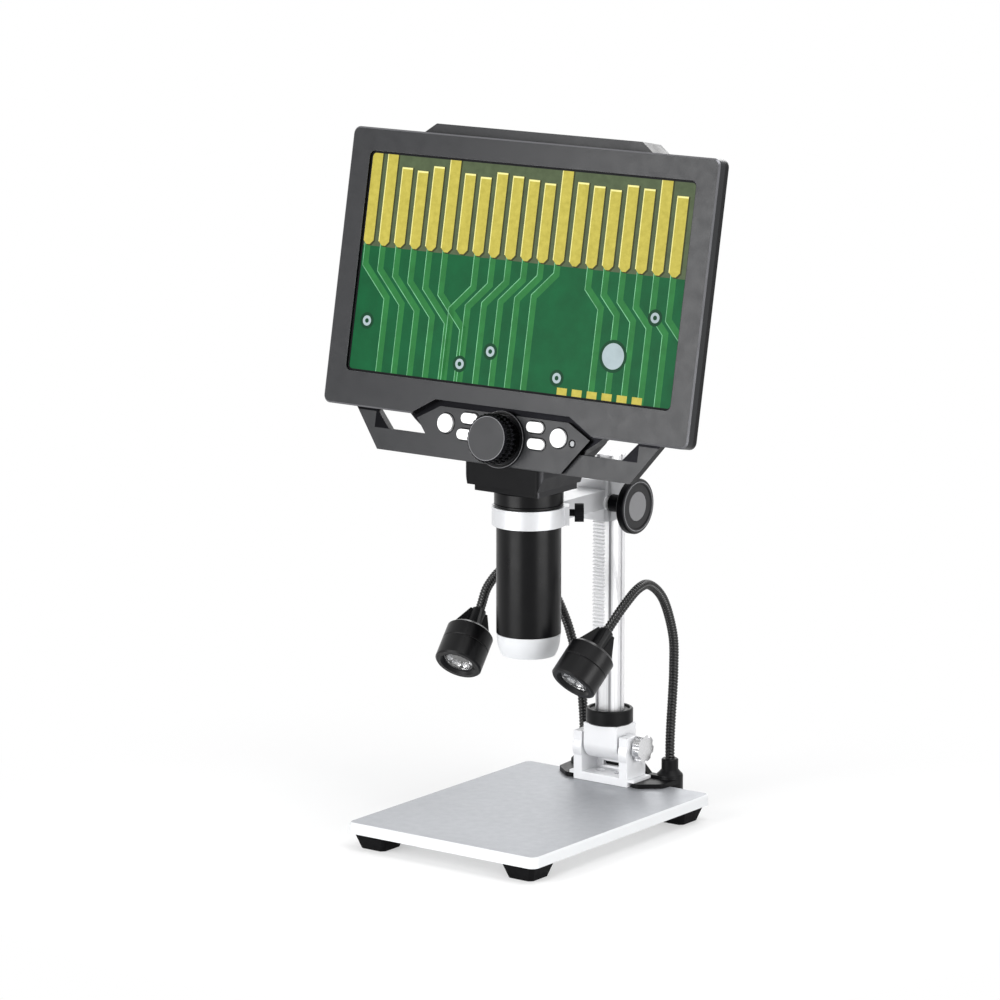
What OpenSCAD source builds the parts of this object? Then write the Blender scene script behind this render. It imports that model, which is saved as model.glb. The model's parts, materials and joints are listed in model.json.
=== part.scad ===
// Desk microscope with a 9 inch screen: plate base, tilting rack column,
// geared carriage, camera barrel, control panel, screen and two gooseneck lamps.
// Origin: centre of the whole outline seen from above, at the height of the
// surface it stands on.
// +X is the viewer's right, +Y is away from the viewer, +Z is up. Millimetres.

/* [Base] */
// Width of the base plate
plate_w = 117; // [105:1:140]
// Depth of the base plate
plate_l = 155; // [150:1:190]
// Thickness of the base plate
plate_t = 5.6; // [4:0.2:10]
// Corner radius of the base plate
plate_r = 4; // [2:0.5:12]
// Bright chamfer round the plate's top edge
plate_chamfer = 0.9; // [0.3:0.1:1.5]
// Height of the rubber feet
foot_h = 8; // [6:0.5:14]
// Width of a foot where it meets the plate
foot_top_w = 20.5; // [18:0.5:26]
// Width of a foot on the table
foot_bottom_w = 15; // [12:0.2:17]

/* [Tilt hinge] */
// Overall width of the U-shaped bracket
bracket_w = 34; // [32:0.5:40]
// Depth of the bracket
bracket_l = 17; // [17:0.5:22]
// Height of the bracket's cheeks above the plate
bracket_h = 26; // [25:0.5:32]
// Thickness of the bracket's floor
bracket_floor = 4.5; // [3.5:0.1:5]
// Width of the tilting block
block_w = 21; // [19:0.5:22]
// Side gap between the block and each cheek
block_gap = 1.2; // [0.4:0.1:2]
// Height of the hinge pin above the plate
pin_h = 20; // [18:0.5:22]
// Diameter of the hinge bolt
pin_d = 5; // [4:0.5:6]
// Height of the block's flat top above the plate
block_top = 31; // [29:0.5:35]

/* [Column] */
// Diameter of the column extrusion
column_d = 15; // [14:0.5:16]
// Height of the column's top above the plate
column_top = 173; // [170:1:200]
// Distance from the plate's centre back to the column's axis
column_y = 69.5; // [67:0.5:72]
// Diameter of the black collar at the column's foot
collar_d = 24.4; // [22:0.2:27]
// Height of the collar
collar_h = 8; // [6:0.5:11]
// Width of the toothed rack
rack_w = 7.1; // [6:0.1:8]
// Gear module of rack and pinion
gear_module = 0.6; // [0.5:0.1:0.6]
// Teeth on the pinion
pinion_teeth = 12; // [11:1:12]

/* [Carriage] */
// Height of the arm's underside above the plate
arm_z = 147.8; // [140:0.2:152]
// Height of the arm and the ring
arm_h = 9.6; // [9:0.2:12]
// Width of the arm
arm_w = 17; // [15:0.5:20]
// Width of the block that runs on the column
carriage_w = 21; // [20.5:0.5:26]
// Height of that block
carriage_h = 21; // [18:1:26]
// Wall of the ring round the barrel
ring_wall = 2.2; // [2:0.1:4]
// Diameter of the focus knob
knob_d = 28.6; // [24:0.2:32]
// Thickness of the focus knob's disc
knob_t = 4.4; // [3:0.2:6]

/* [Microscope] */
// Outside diameter of the barrel
barrel_d = 32.8; // [30:0.2:33.8]
// Diameter of the neck above the ring
neck_d = 35; // [34:0.2:36]
// Height of the barrel's lower end above the plate
barrel_z = 91.8; // [80:0.2:100]
// Length of the frosted hood
hood_h = 11; // [8:0.5:16]
// Diameter of the hood's open end
hood_end_d = 27.4; // [25:0.2:29]
// Distance from the plate's centre forward to the barrel's axis
barrel_forward = 2; // [0:0.5:6]
// Width of the camera housing
head_w = 48; // [46:1:50]

/* [Screen] */
// Outside width of the bezel
bezel_w = 224.5; // [222:0.5:240]
// Outside height of the bezel
bezel_h = 141.5; // [140:0.5:150]
// Depth of the bezel frame
bezel_t = 5; // [4:0.5:7]
// Width of the visible picture
view_w = 200; // [190:0.5:204]
// Height of the visible picture
view_h = 112.2; // [108:0.2:114]
// Backward lean of the screen
screen_lean = 11.16; // [9:0.5:13]
// Depth of the whole screen housing
screen_depth = 20; // [20:0.5:24]

/* [Controls] */
// Diameter of the focus wheel
wheel_d = 25.2; // [22:0.2:26]
// Length of the focus wheel
wheel_l = 12.3; // [8:0.1:16]
// Diameter of the round buttons
round_button_d = 9.4; // [7:0.1:9.6]
// Length of the oval buttons
oval_button_l = 10.2; // [8:0.1:10.4]
// Width of the oval buttons
oval_button_w = 5.2; // [4:0.1:5.4]
// How far a button goes in
button_travel = 0.8; // [0.4:0.1:0.9]

/* [Lamps] */
// Diameter of the lamp heads
lamp_d = 24.6; // [22:0.2:26]
// Length of the lamp heads' round body
lamp_l = 21; // [18:0.5:24]
// Diameter of the metal gooseneck hose
hose_d = 5.1; // [4.5:0.1:5.6]

/* [Hidden] */

$fn = 64;
// Overlap that makes a cut go clean through a face
eps = 0.01;
// Gap round a shaft or pin that turns, or a slide that runs
run_gap = 0.05;
// Gap between moving pieces that don't touch
air_gap = 0.3;
// Gap between still pieces that fit into one another
fit_gap = 0.1;

// Base
plate_z = foot_h + plate_t;
foot_inset_x = 12.5;
foot_inset_y = 12;
foot_x = plate_w / 2 - foot_inset_x;
foot_y = plate_l / 2 - foot_inset_y;
foot_screw_d = 3;
foot_screw_head_d = 6;
foot_screw_head_h = 2.2;
foot_screw_bite = 3.5;
foot_recess = 4.5;
foot_corner_top = 13.2;
foot_corner_low = 9.5;
bracket_screw_d = 4;
bracket_screw_head_d = 8;
bracket_screw_x = 6;
bracket_screw_cone = 2;

// Tilt hinge
bracket_back = column_y + bracket_l / 2;
bracket_front = column_y - bracket_l / 2;
cheek_t = bracket_w / 2 - block_w / 2 - block_gap;
pin_z = plate_z + pin_h;
block_round = bracket_l / 2;
bracket_wall_t = 2.6;
bracket_wall_h = pin_h - block_round - 1.4;
cheek_round = 9;
slot_w = 16;
slot_h = 2.4;
toe_w = 3.4;
toe_t = 1.6;
clip_t = 2.4;
nut_d = 9;
nut_t = 3;
tilt_knob_d = 14.2;
tilt_hub_d = 9.5;
tilt_hub_l = 1.6;
tilt_disc_t = 4;
tilt_lobes = 7;
tilt_lobe_r = 1.9;
tilt_bolt_end = bracket_w / 2 + tilt_hub_l;

// Column
column_foot = 26;
column_r = column_d / 2;
collar_lip = 1;
collar_groove_d = 20.4;
rack_tip = 11;
rack_back = 5.4;
rack_low = 61;
rack_high = column_top - 2;
flat_share = cos(23);
side_groove_w = 1.4;
side_groove_depth = 1;
addendum = gear_module;
dedendum = 1.25 * gear_module;
gear_pitch = PI * gear_module;
pressure_angle = 25;
backlash = 0.12;
pinion_r = pinion_teeth * gear_module / 2;
rack_pitch_y = column_y - rack_tip + addendum;
pinion_y = rack_pitch_y - pinion_r;

// Carriage
arm_bottom = plate_z + arm_z;
arm_top = arm_bottom + arm_h;
knob_z = arm_bottom + 2.8;
carriage_bottom = arm_bottom - 6.8;
carriage_front = pinion_y - 3.1;
carriage_wall = 3.4;
carriage_back = column_y + column_r + carriage_wall;
carriage_round = 3;
pinion_room = 0.2;
pinion_cap_t = 2;
pinion_pocket_d = 2 * (pinion_r + addendum + pinion_room);
knob_hub_d = 9;
knob_shaft_d = 4;
knob_inner_x = 22.7;
knob_rim = 0.7;
knob_dish = 0.5;
knob_dish_edge = 2.6;
knob_disc_d = 15;
knob_disc_t = 0.6;
knob_outer_x = knob_inner_x + knob_t;
knob_seat_x = knob_outer_x - knob_dish - knob_disc_t;
barrel_y = -barrel_forward;
barrel_r = barrel_d / 2;
ring_r = barrel_r + run_gap + ring_wall;
clamp_turn = 36.4;
clamp_z = arm_bottom + arm_h / 2 + 1;
clamp_pad_w = 9;
clamp_pad_face = ring_r + 1.7;
clamp_screw_d = 3.6;
clamp_screw_tip = barrel_r + air_gap;
clamp_head_d = 9.4;
clamp_head_l = 4.6;
clamp_head_x = ring_r + 4.4;
clamp_head_ribs = 28;
clamp_rib_r = 0.25;
pad_d = 6;
pad_screw_d = 3;
pad_step = 9;

// Microscope
neck_bottom = arm_top;
neck_h = 8.8;
barrel_wall = 2;
barrel_bottom = plate_z + barrel_z;
hood_bottom = barrel_bottom - hood_h;
hood_wall = 1.6;
hood_lip = 3;
tube_d = 18;
tube_wall = 1.4;
lens_d = 12;
ring_board_t = 1.6;
light_count = 8;
foot_plate_w = 40;
foot_plate_l = 35;
foot_plate_front = 22;
foot_plate_h = 3.4;
foot_plate_r = 2;
head_front = 25;
head_back = 12.5;
head_z = neck_bottom + neck_h + foot_plate_h;
sensor_floor = 3;
sensor_board_w = 29;
sensor_board_l = 22;
sensor_room_h = 4;
screen_low = -bezel_h / 2;
spine_rise = 50.75;
spine_top = screen_low + spine_rise;
spine_t = 5;
spine_screw_x = 14;
spine_screw_rise = [42.75, 30.75];
spine_screw_y = [for (rise = spine_screw_rise) screen_low + rise];
spine_screw_l = 9;
spine_screw_head_h = 1.8;
spine_tool_l = 30;
spine_screw_d = 3;
spine_screw_head_d = 5.6;
spine_screw_seat = 3;
port_y = 2;
usb_z = 14;
usb_w = 9;
usb_h = 3.4;
card_z = 24;
card_w = 12;
card_h = 2;
port_depth = 7;
head_depth = 70;
head_rise = 120;
head_corner_r = 3.5;
head_draft = 2.4;
head_draft_h = 7;

// Screen, in its own frame: x right, y up the screen, z out of the glass
// The middle of the bezel's lower edge is measured from the plate's centre
// and top, and the screen grows upwards from there
screen_foot_y = -26.693625;
screen_foot_z = 201.887846;
screen_y = screen_foot_y - screen_low * sin(screen_lean);
screen_z = plate_z + screen_foot_z - screen_low * cos(screen_lean);
view_up = 2.96;
bezel_r = 4;
view_r = 3;
bezel_edge = 8;
bezel_lip = 1.6;
glass_t = 1.1;
glass_border = 2;
display_t = 4.2;
cover_inset = 24;
cover_wall = 2;
notch_wide = 56.5;
notch_narrow = 41.3;
notch_rise = 8.7;
hump_wide = 70;
hump_narrow = 63;
hump_rise = 4.9;
hump_front = 4;
hump_back_l = 26;
main_board_w = 110;
main_board_l = 60;
main_board_y = 8;
main_post_inset_x = 5;
main_post_inset_y = 5;
battery_w = 70;
battery_l = 40;
cover_screw_x = 78;
cover_screw_y = 42;
cover_screw_d = 3;
cover_screw_head_d = 5.6;

// Control panel, in the screen's frame, with rises and drops from the bezel's lower edge
panel_depth = 2.6;
panel_wall = 2;
panel_top_rise = 5.55;
panel_top = screen_low + panel_top_rise;
panel_mid_drop = 1.75;
panel_mid = screen_low - panel_mid_drop;
panel_low_drop = 19.75;
panel_low = screen_low - panel_low_drop;
panel_top_x = 39.5;
panel_mid_x = 53.3;
panel_low_x = 38.2;
wing_depth = 5;
wing_t = 4.4;
wing_top = screen_low - fit_gap;
wing_low_drop = 20.25;
wing_low = screen_low - wing_low_drop;
wing_out_x = 93.6;
wing_low_x = 78;
window_low_drop = 9.25;
window_low = screen_low - window_low_drop;
window_top_x = 80.6;
window_low_x = 72;
body_top_x = 59.4;
body_shoulder_x = 56.4;
body_shoulder = 2.4;
body_top_rise = 9.25;
body_top = screen_low + body_top_rise;
body_low_x = 46.4;
body_front_depth = 11;
body_back_top_x = 52.4;
body_back_low_x = 45.6;
wheel_drop = 7.05;
wheel_y = screen_low - wheel_drop;
wheel_shaft_d = 6;
wheel_ribs = 32;
wheel_rib_r = 0.75;
wheel_foot_h = 2.6;
wheel_foot_inset = 0.9;
wheel_stem = screen_depth - panel_depth + air_gap - 1;
wheel_cap_d = 21.6;
wheel_cap_t = 1;
trim_d = 29;
trim_t = 1.2;
round_button_x = 34.8;
round_button_drop = 2.55;
round_button_y = screen_low - round_button_drop;
upper_button_x = 20.2;
upper_button_rise = 1.25;
upper_button_y = screen_low + upper_button_rise;
lower_button_x = 21.8;
lower_button_drop = 6.95;
lower_button_y = screen_low - lower_button_drop;
button_proud = 1.2;
button_gap = 0.25;
button_flange = 0.6;
button_flange_t = 0.8;
button_board_t = 1.4;
room_top_x = 37;
room_mid_x = 46;
room_edge_top = 0.8;
room_edge_low = 1.6;
board_post_x = 30;
board_post_drop = 11.25;
board_post_y = screen_low - board_post_drop;
status_x = 43;
status_drop = 4.45;
status_y = screen_low - status_drop;
status_d = 3;

// Lamps
clip_x = 27.35;
clip_behind = 7.65;
clip_y = plate_l / 2 + clip_behind;
clip_base_d = 13.8;
clip_side_h = 3.5;
clip_shoulder_r = 1.5;
clip_cone_top = 6.8;
clip_tower_d = 8.8;
clip_tower_h = 12.6;
clip_bore = 7;
clip_drop = plate_t - 0.6;
clip_elbow_x = 29.5;
clip_elbow_y = 72.5;
clip_elbow_r = 3.6;
clip_wall_t = 4;
clip_wall_h = 8;
clip_wall_x = 1;
clip_wall_bend = 16;
clip_wall_low = 4;
tongue_x = 21.4;
tongue_y = 66.6;
tongue_r = 4.2;
lamp_front = [35.8, -14.05, 85.9];
lamp_polar = 46;
lamp_turn = 80.2;
lamp_edge = 0.8;
lamp_back_edge = 1.6;
lamp_seam_z = 11.5;
lamp_seam = 0.3;
lamp_lens_d = 16;
lamp_lens_t = 2.4;
lamp_lens_z = 1.8;
lamp_bevel = 1.4;
lamp_floor = 8;
lamp_chip_d = 12;
lamp_chip_t = 1.6;
led_w = 4;
led_h = 0.8;
lamp_fins = 4;
lamp_fin_t = 1.2;
lamp_fin_turn = 50;
lamp_fin_r = 10.4;
lamp_fin_tip_r = 4.8;
lamp_fin_l = 12;
lamp_socket_l = 12.5;
lamp_socket_d = 8;
lamp_socket_tip_d = 7.4;
lamp_total = lamp_l + lamp_socket_l;
lamp_axis = [sin(lamp_polar) * cos(lamp_turn), sin(lamp_polar) * sin(lamp_turn), cos(lamp_polar)];
hose_seat = 3;
hose_foot = plate_z + clip_tower_h - clip_bore + air_gap;
hose_end = lamp_front + lamp_axis * (lamp_total - hose_seat);
hose_sides = 10;
hose_step = 4;
// Hand-chosen route of the right-hand hose, from its clip to its lamp
hose_route = [
    [clip_x, clip_y, hose_foot],
    [clip_x, clip_y, 26],
    [clip_x, clip_y, 34],
    [27.9, 85, 45],
    [29.1, 84.5, 59],
    [31.2, 82.4, 75],
    [34, 77.4, 94],
    [36.5, 65, 115],
    [39, 49, 126],
    [42, 34, 127],
    [42.2, 20.5, 120]];
// The outline seen from above runs from the plate's front to the clips' backs
middle_y = (clip_y + clip_base_d / 2 - plate_l / 2) / 2;

// ---------------------------------------------------------------- helpers

// Flat rectangle with round corners, centred
module round_rect(w, h, r) {
    square([w - 2 * r, h], center = true);
    square([w, h - 2 * r], center = true);
    for (sx = [-1, 1], sy = [-1, 1])
        translate([sx * (w / 2 - r), sy * (h / 2 - r)])
            circle(r, $fn = 32);
}

// Flat oval with round ends, centred
module oval(l, w) {
    square([l - w, w], center = true);
    for (s = [-1, 1])
        translate([s * (l - w) / 2, 0])
            circle(d = w);
}

// Cylinder along X from x0 to x1
module x_rod(x0, x1, d) {
    translate([x0, 0, 0])
        rotate([0, 90, 0])
            cylinder(h = x1 - x0, d = d);
}

// Moves the whole so that its outline is centred on the origin
module centred() {
    translate([0, -middle_y, 0])
        children();
}

// Moves a flat drawing or solid into the leaning screen frame
module on_screen() {
    translate([0, screen_y, screen_z])
        rotate([90 - screen_lean, 0, 0])
            children();
}

// Extrudes between two depths behind the glass, back then front
module slab(back, front) {
    translate([0, 0, -back])
        linear_extrude(back - front)
            children();
}

// Draws its children and their mirror image on the other side
module both_sides() {
    children();
    mirror([1, 0, 0])
        children();
}

// Lies along the microscope's axis
module on_barrel(z) {
    translate([0, barrel_y, z])
        children();
}

// Lies along the column's axis
module on_column(z) {
    translate([0, column_y, z])
        children();
}

// Clamp screw's frame: x runs outwards through the ring
module on_clamp() {
    translate([0, barrel_y, clamp_z])
        rotate(clamp_turn)
            children();
}

// Right-hand lamp frame: z runs from the glass back along the head
module on_lamp() {
    translate(lamp_front)
        rotate([0, lamp_polar, lamp_turn])
            children();
}

// ------------------------------------------------------------------- base

module base_plate() {
    color("gainsboro")
    difference() {
        translate([0, 0, foot_h])
            hull() {
                linear_extrude(plate_t - plate_chamfer)
                    round_rect(plate_w, plate_l, plate_r);
                linear_extrude(plate_t)
                    round_rect(plate_w - 2 * plate_chamfer, plate_l - 2 * plate_chamfer,
                        plate_r - plate_chamfer);
            }
        for (sx = [-1, 1], sy = [-1, 1])
            translate([sx * foot_x, sy * foot_y, foot_h - eps])
                cylinder(h = foot_screw_bite + fit_gap, d = foot_screw_d + 2 * fit_gap);
        for (sx = [-1, 1])
            translate([sx * bracket_screw_x, column_y, foot_h - eps])
                bracket_screw_hole();
    }
}

module bracket_screw_hole() {
    cylinder(h = plate_t + 1, d = bracket_screw_d + 2 * fit_gap);
    cylinder(h = bracket_screw_cone, d1 = bracket_screw_head_d, d2 = bracket_screw_d);
}

// Square block with round corners that narrows towards the table
module foot_block() {
    side = [[-foot_bottom_w / 2, 0], [foot_bottom_w / 2, 0],
        [foot_top_w / 2, foot_h], [-foot_top_w / 2, foot_h]];
    intersection() {
        rotate([90, 0, 0])
            linear_extrude(foot_top_w, center = true)
                polygon(side);
        rotate([90, 0, 90])
            linear_extrude(foot_top_w, center = true)
                polygon(side);
        cylinder(h = foot_h, r1 = foot_corner_low, r2 = foot_corner_top, $fn = 96);
    }
}

module rubber_feet() {
    color([0.1, 0.1, 0.1])
    for (sx = [-1, 1], sy = [-1, 1])
        translate([sx * foot_x, sy * foot_y, 0])
            difference() {
                foot_block();
                translate([0, 0, -eps])
                    cylinder(h = foot_recess, d = foot_screw_head_d + 2 * fit_gap);
                cylinder(h = foot_h + 1, d = foot_screw_d + 2 * fit_gap);
            }
}

module foot_screws() {
    color("silver")
    for (sx = [-1, 1], sy = [-1, 1])
        translate([sx * foot_x, sy * foot_y, foot_recess - foot_screw_head_h])
            rotate_extrude()
                polygon([[0, 0.6], [1.2, 0.6], [1.2, 0], [foot_screw_head_d / 2, 0],
                    [foot_screw_head_d / 2, foot_screw_head_h - eps],
                    [foot_screw_d / 2, foot_screw_head_h - eps],
                    [foot_screw_d / 2, foot_h - foot_recess + foot_screw_head_h + foot_screw_bite],
                    [0, foot_h - foot_recess + foot_screw_head_h + foot_screw_bite]]);
}

module bracket_screws() {
    grip = plate_t + bracket_floor - 1;
    color("silver")
    for (sx = [-1, 1])
        translate([sx * bracket_screw_x, column_y, foot_h])
            rotate_extrude()
                polygon([[0, 0.3], [bracket_screw_head_d / 2 - 0.5, 0.3],
                    [bracket_screw_d / 2, bracket_screw_cone],
                    [bracket_screw_d / 2, grip], [0, grip]]);
}

// Side view of a cheek: straight front, round ear at the top
module cheek_outline() {
    translate([bracket_front, 0])
        square([bracket_l, bracket_h - cheek_round]);
    translate([bracket_front, 0])
        square([bracket_l - cheek_round, bracket_h]);
    translate([bracket_back - cheek_round, bracket_h - cheek_round])
        circle(cheek_round);
}

module hinge_bracket() {
    color([0.93, 0.93, 0.94])
    translate([0, 0, plate_z])
    difference() {
        union() {
            both_sides()
                translate([bracket_w / 2 - cheek_t, 0, 0])
                    rotate([90, 0, 90])
                        linear_extrude(cheek_t)
                            cheek_outline();
            translate([-bracket_w / 2 + eps, bracket_front, 0])
                cube([bracket_w - 2 * eps, bracket_l, bracket_floor]);
            translate([-bracket_w / 2 + eps, bracket_back - bracket_wall_t, 0])
                cube([bracket_w - 2 * eps, bracket_wall_t, bracket_wall_h]);
            both_sides()
                translate([bracket_w / 2 - eps, bracket_front + 1, clip_t])
                    cube([toe_w, bracket_l - 1, toe_t]);
        }
        translate([0, column_y, pin_h])
            x_rod(-bracket_w, bracket_w, pin_d + 2 * run_gap);
        translate([-bracket_w / 2 - eps, column_y, pin_h])
            rotate([0, 90, 0])
                cylinder(h = nut_t, d = nut_d + 2 * fit_gap, $fn = 6);
        translate([-slot_w / 2, bracket_back - bracket_wall_t - 1, bracket_floor + 1.2])
            cube([slot_w, bracket_wall_t + 2, slot_h]);
        for (sx = [-1, 1])
            translate([sx * bracket_screw_x, column_y, -1])
                cylinder(h = bracket_floor + 2, d = bracket_screw_d + 2 * fit_gap);
    }
}

// One lamp clip: tongue held by the bracket's toe, an arm past the plate's
// back edge, a round base with a tower, and a wall behind the bracket
module lamp_clip() {
    color([0.09, 0.09, 0.1])
    translate([0, 0, plate_z])
    difference() {
        union() {
            linear_extrude(clip_t)
                hull() {
                    translate([tongue_x, tongue_y])
                        circle(tongue_r, $fn = 32);
                    translate([clip_elbow_x, clip_elbow_y])
                        circle(clip_elbow_r, $fn = 32);
                    translate([clip_x, clip_y])
                        circle(clip_base_d / 2 - eps, $fn = 32);
                }
            translate([clip_x, clip_y, 0])
                rotate_extrude()
                    clip_profile();
            translate([0, bracket_back + clip_wall_t + 0.6, 0])
                rotate([90, 0, 0])
                    linear_extrude(clip_wall_t)
                        clip_wall_outline();
        }
        translate([clip_x, clip_y, clip_tower_h - clip_bore])
            cylinder(h = clip_bore + 1, d = hose_d + 4 * run_gap);
    }
}

// Half section of the clip's base, which drops behind the plate, and tower
module clip_profile() {
    base_r = clip_base_d / 2;
    tower_r = clip_tower_d / 2;
    shoulder = [for (a = [0:15:60])
        [base_r - clip_shoulder_r * (1 - cos(a)), clip_side_h + clip_shoulder_r * sin(a)]];
    polygon(concat([[0, -clip_drop], [base_r - 0.6, -clip_drop], [base_r, 0.6 - clip_drop]],
        shoulder, [[tower_r, clip_cone_top], [tower_r, clip_tower_h - 0.6],
            [tower_r - 0.6, clip_tower_h], [0, clip_tower_h]]));
}

// Front view of the wall behind the bracket: tall, then low towards the base
module clip_wall_outline() {
    slope = clip_wall_h - clip_wall_low;
    polygon([[clip_wall_x, -clip_drop], [clip_x, -clip_drop], [clip_x, clip_wall_low],
        [clip_wall_bend + slope / 2, clip_wall_low], [clip_wall_bend - slope / 2, clip_wall_h],
        [clip_wall_x, clip_wall_h]]);
}

module lamp_clip_right() {
    lamp_clip();
}

module lamp_clip_left() {
    mirror([1, 0, 0])
        lamp_clip();
}

// ------------------------------------------------------------- tilt hinge

module tilt_block() {
    color([0.93, 0.93, 0.94])
    difference() {
        translate([-block_w / 2, column_y, plate_z])
            rotate([90, 0, 90])
                linear_extrude(block_w) {
                    translate([0, pin_h])
                        circle(block_round);
                    translate([-block_round, pin_h])
                        square([2 * block_round, block_top - pin_h]);
                }
        translate([0, column_y, pin_z])
            x_rod(-block_w, block_w, pin_d + 2 * run_gap);
        on_column(plate_z + column_foot)
            cylinder(h = block_top, d = column_d + 2 * fit_gap);
    }
}

module column_collar() {
    r = collar_d / 2;
    color([0.07, 0.07, 0.08])
    on_column(plate_z + block_top)
        rotate_extrude($fn = 96)
            polygon([[column_r + fit_gap, 0], [r - 0.8, 0], [r, 0.8], [r, collar_h - 0.6],
                [r - 0.6, collar_h], [collar_groove_d / 2 + 0.4, collar_h],
                [collar_groove_d / 2, collar_h - collar_lip],
                [column_r + fit_gap, collar_h - collar_lip]]);
}

// Cross-section of the extrusion, centred on its axis, front towards -Y
module column_section() {
    flat_x = column_r * flat_share;
    difference() {
        intersection() {
            circle(column_r, $fn = 96);
            square([2 * flat_x, column_d + 1], center = true);
        }
        translate([-rack_w / 2 - fit_gap, -column_d])
            square([rack_w + 2 * fit_gap, column_d - rack_back + fit_gap]);
        for (sx = [-1, 1])
            translate([sx * flat_x, 0])
                square([2 * side_groove_depth, side_groove_w], center = true);
        translate([0, column_r])
            square([side_groove_w, 2 * side_groove_depth], center = true);
    }
}

module column() {
    color([0.92, 0.92, 0.93])
    on_column(plate_z + column_foot)
        linear_extrude(column_top - column_foot)
            column_section();
}

// Side view of the rack: x is towards the pinion, y is up. A gap faces the
// pinion at the knob's height.
module rack_outline() {
    low = plate_z + rack_low;
    high = plate_z + rack_high;
    root = rack_tip - addendum - dedendum;
    half_tip = gear_pitch / 4 - addendum * tan(pressure_angle) - backlash / 2;
    half_root = gear_pitch / 4 + dedendum * tan(pressure_angle) - backlash / 2;
    first = ceil((low + half_root - knob_z) / gear_pitch - 0.5);
    last = floor((high - half_root - knob_z) / gear_pitch - 0.5);
    teeth = [for (i = [first:last])
        let (z = knob_z + (i + 0.5) * gear_pitch)
        each [[root, z - half_root], [rack_tip, z - half_tip],
            [rack_tip, z + half_tip], [root, z + half_root]]];
    polygon(concat([[rack_back, low], [root, low]], teeth, [[root, high], [rack_back, high]]));
}

module rack() {
    color([0.8, 0.81, 0.82])
    translate([-rack_w / 2, column_y, 0])
        rotate([90, 0, 90])
            linear_extrude(rack_w)
                mirror([1, 0])
                    rack_outline();
}

module tilt_bolt() {
    color("silver")
    translate([0, column_y, pin_z])
        x_rod(-bracket_w / 2 + air_gap, tilt_bolt_end, pin_d);
}

module tilt_nut() {
    color("silver")
    translate([-bracket_w / 2 + 0.2, column_y, pin_z])
        rotate([0, 90, 0])
            difference() {
                cylinder(h = nut_t - 0.2 - eps, d = nut_d, $fn = 6);
                translate([0, 0, -1])
                    cylinder(h = nut_t + 2, d = pin_d + 2 * run_gap);
            }
}

// Disc with deep round hollows in its rim
module lobed_disc(d, lobes, r) {
    difference() {
        circle(d = d);
        for (i = [0:lobes - 1])
            rotate(i * 360 / lobes)
                translate([d / 2 + r / 2, 0])
                    circle(r, $fn = 32);
    }
}

module tilt_knob() {
    hub_x = bracket_w / 2 + air_gap;
    color([0.88, 0.88, 0.9])
    translate([0, column_y, pin_z])
        difference() {
            union() {
                x_rod(hub_x, hub_x + tilt_hub_l + eps, tilt_hub_d);
                translate([hub_x + tilt_hub_l, 0, 0])
                    rotate([0, 90, 0])
                        linear_extrude(tilt_disc_t)
                            lobed_disc(tilt_knob_d, tilt_lobes, tilt_lobe_r);
            }
            x_rod(hub_x - 1, tilt_bolt_end + fit_gap, pin_d + 2 * eps);
        }
}

// --------------------------------------------------------------- carriage

// Room that the column and its rack need, seen from above
module column_passage() {
    circle(column_r + run_gap, $fn = 96);
    translate([-rack_w / 2 - run_gap - fit_gap, -rack_tip - air_gap])
        square([rack_w + 2 * (run_gap + fit_gap), rack_tip]);
}

module carriage() {
    color([0.94, 0.94, 0.95])
    difference() {
        union() {
            translate([0, (carriage_front + carriage_back) / 2, carriage_bottom])
                linear_extrude(carriage_h)
                    round_rect(carriage_w, carriage_back - carriage_front, carriage_round);
            translate([-arm_w / 2, barrel_y + barrel_r - 3, arm_bottom])
                cube([arm_w, carriage_front + carriage_round - barrel_y - barrel_r + 3, arm_h]);
            on_barrel(arm_bottom)
                cylinder(h = arm_h, r = ring_r, $fn = 96);
            on_clamp()
                translate([barrel_r, -clamp_pad_w / 2, arm_bottom - clamp_z + eps])
                    cube([clamp_pad_face - barrel_r, clamp_pad_w, arm_h - 2 * eps]);
        }
        on_barrel(arm_bottom - 1)
            cylinder(h = arm_h + 2, r = barrel_r + run_gap, $fn = 96);
        on_column(carriage_bottom - 1)
            linear_extrude(carriage_h + 2)
                column_passage();
        // Pocket and cross bore of the pinion
        translate([0, pinion_y, knob_z]) {
            x_rod(-rack_w / 2 - 1, carriage_w / 2 + 1, pinion_pocket_d);
            x_rod(-carriage_w / 2 + pinion_cap_t, 0, knob_shaft_d + 2 * run_gap);
        }
        // Bore of the thumbscrew that presses on the barrel
        on_clamp()
            x_rod(barrel_r - 1, clamp_pad_face + 1, clamp_screw_d + 2 * run_gap);
        // Slide pad and its adjusting screws, on the left of the column
        for (sz = [-1, 1])
            translate([0, column_y, carriage_bottom + carriage_h / 2 + sz * pad_step / 2])
                x_rod(-carriage_w, -column_r * flat_share + 1, pad_screw_d + 2 * fit_gap);
        translate([-column_r - 1.2, column_y - pad_d / 2 - fit_gap, carriage_bottom + 3])
            cube([3, pad_d + 2 * fit_gap, carriage_h - 6]);
    }
}

module slide_pad() {
    inner = column_r * flat_share + run_gap;
    color([0.85, 0.83, 0.76])
    translate([-column_r - 1.2 + fit_gap, column_y - pad_d / 2, carriage_bottom + 3 + fit_gap])
        cube([column_r + 1.2 - fit_gap - inner, pad_d, carriage_h - 6 - 2 * fit_gap]);
}

module pad_screws() {
    color([0.2, 0.2, 0.22])
    for (sz = [-1, 1])
        translate([0, column_y, carriage_bottom + carriage_h / 2 + sz * pad_step / 2])
            difference() {
                x_rod(-carriage_w / 2 + 0.2, -column_r - 1.2, pad_screw_d);
                translate([-carriage_w / 2, 0, 0])
                    rotate([0, 90, 0])
                        cylinder(h = 1.4, d = 1.7, $fn = 6);
            }
}

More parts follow.
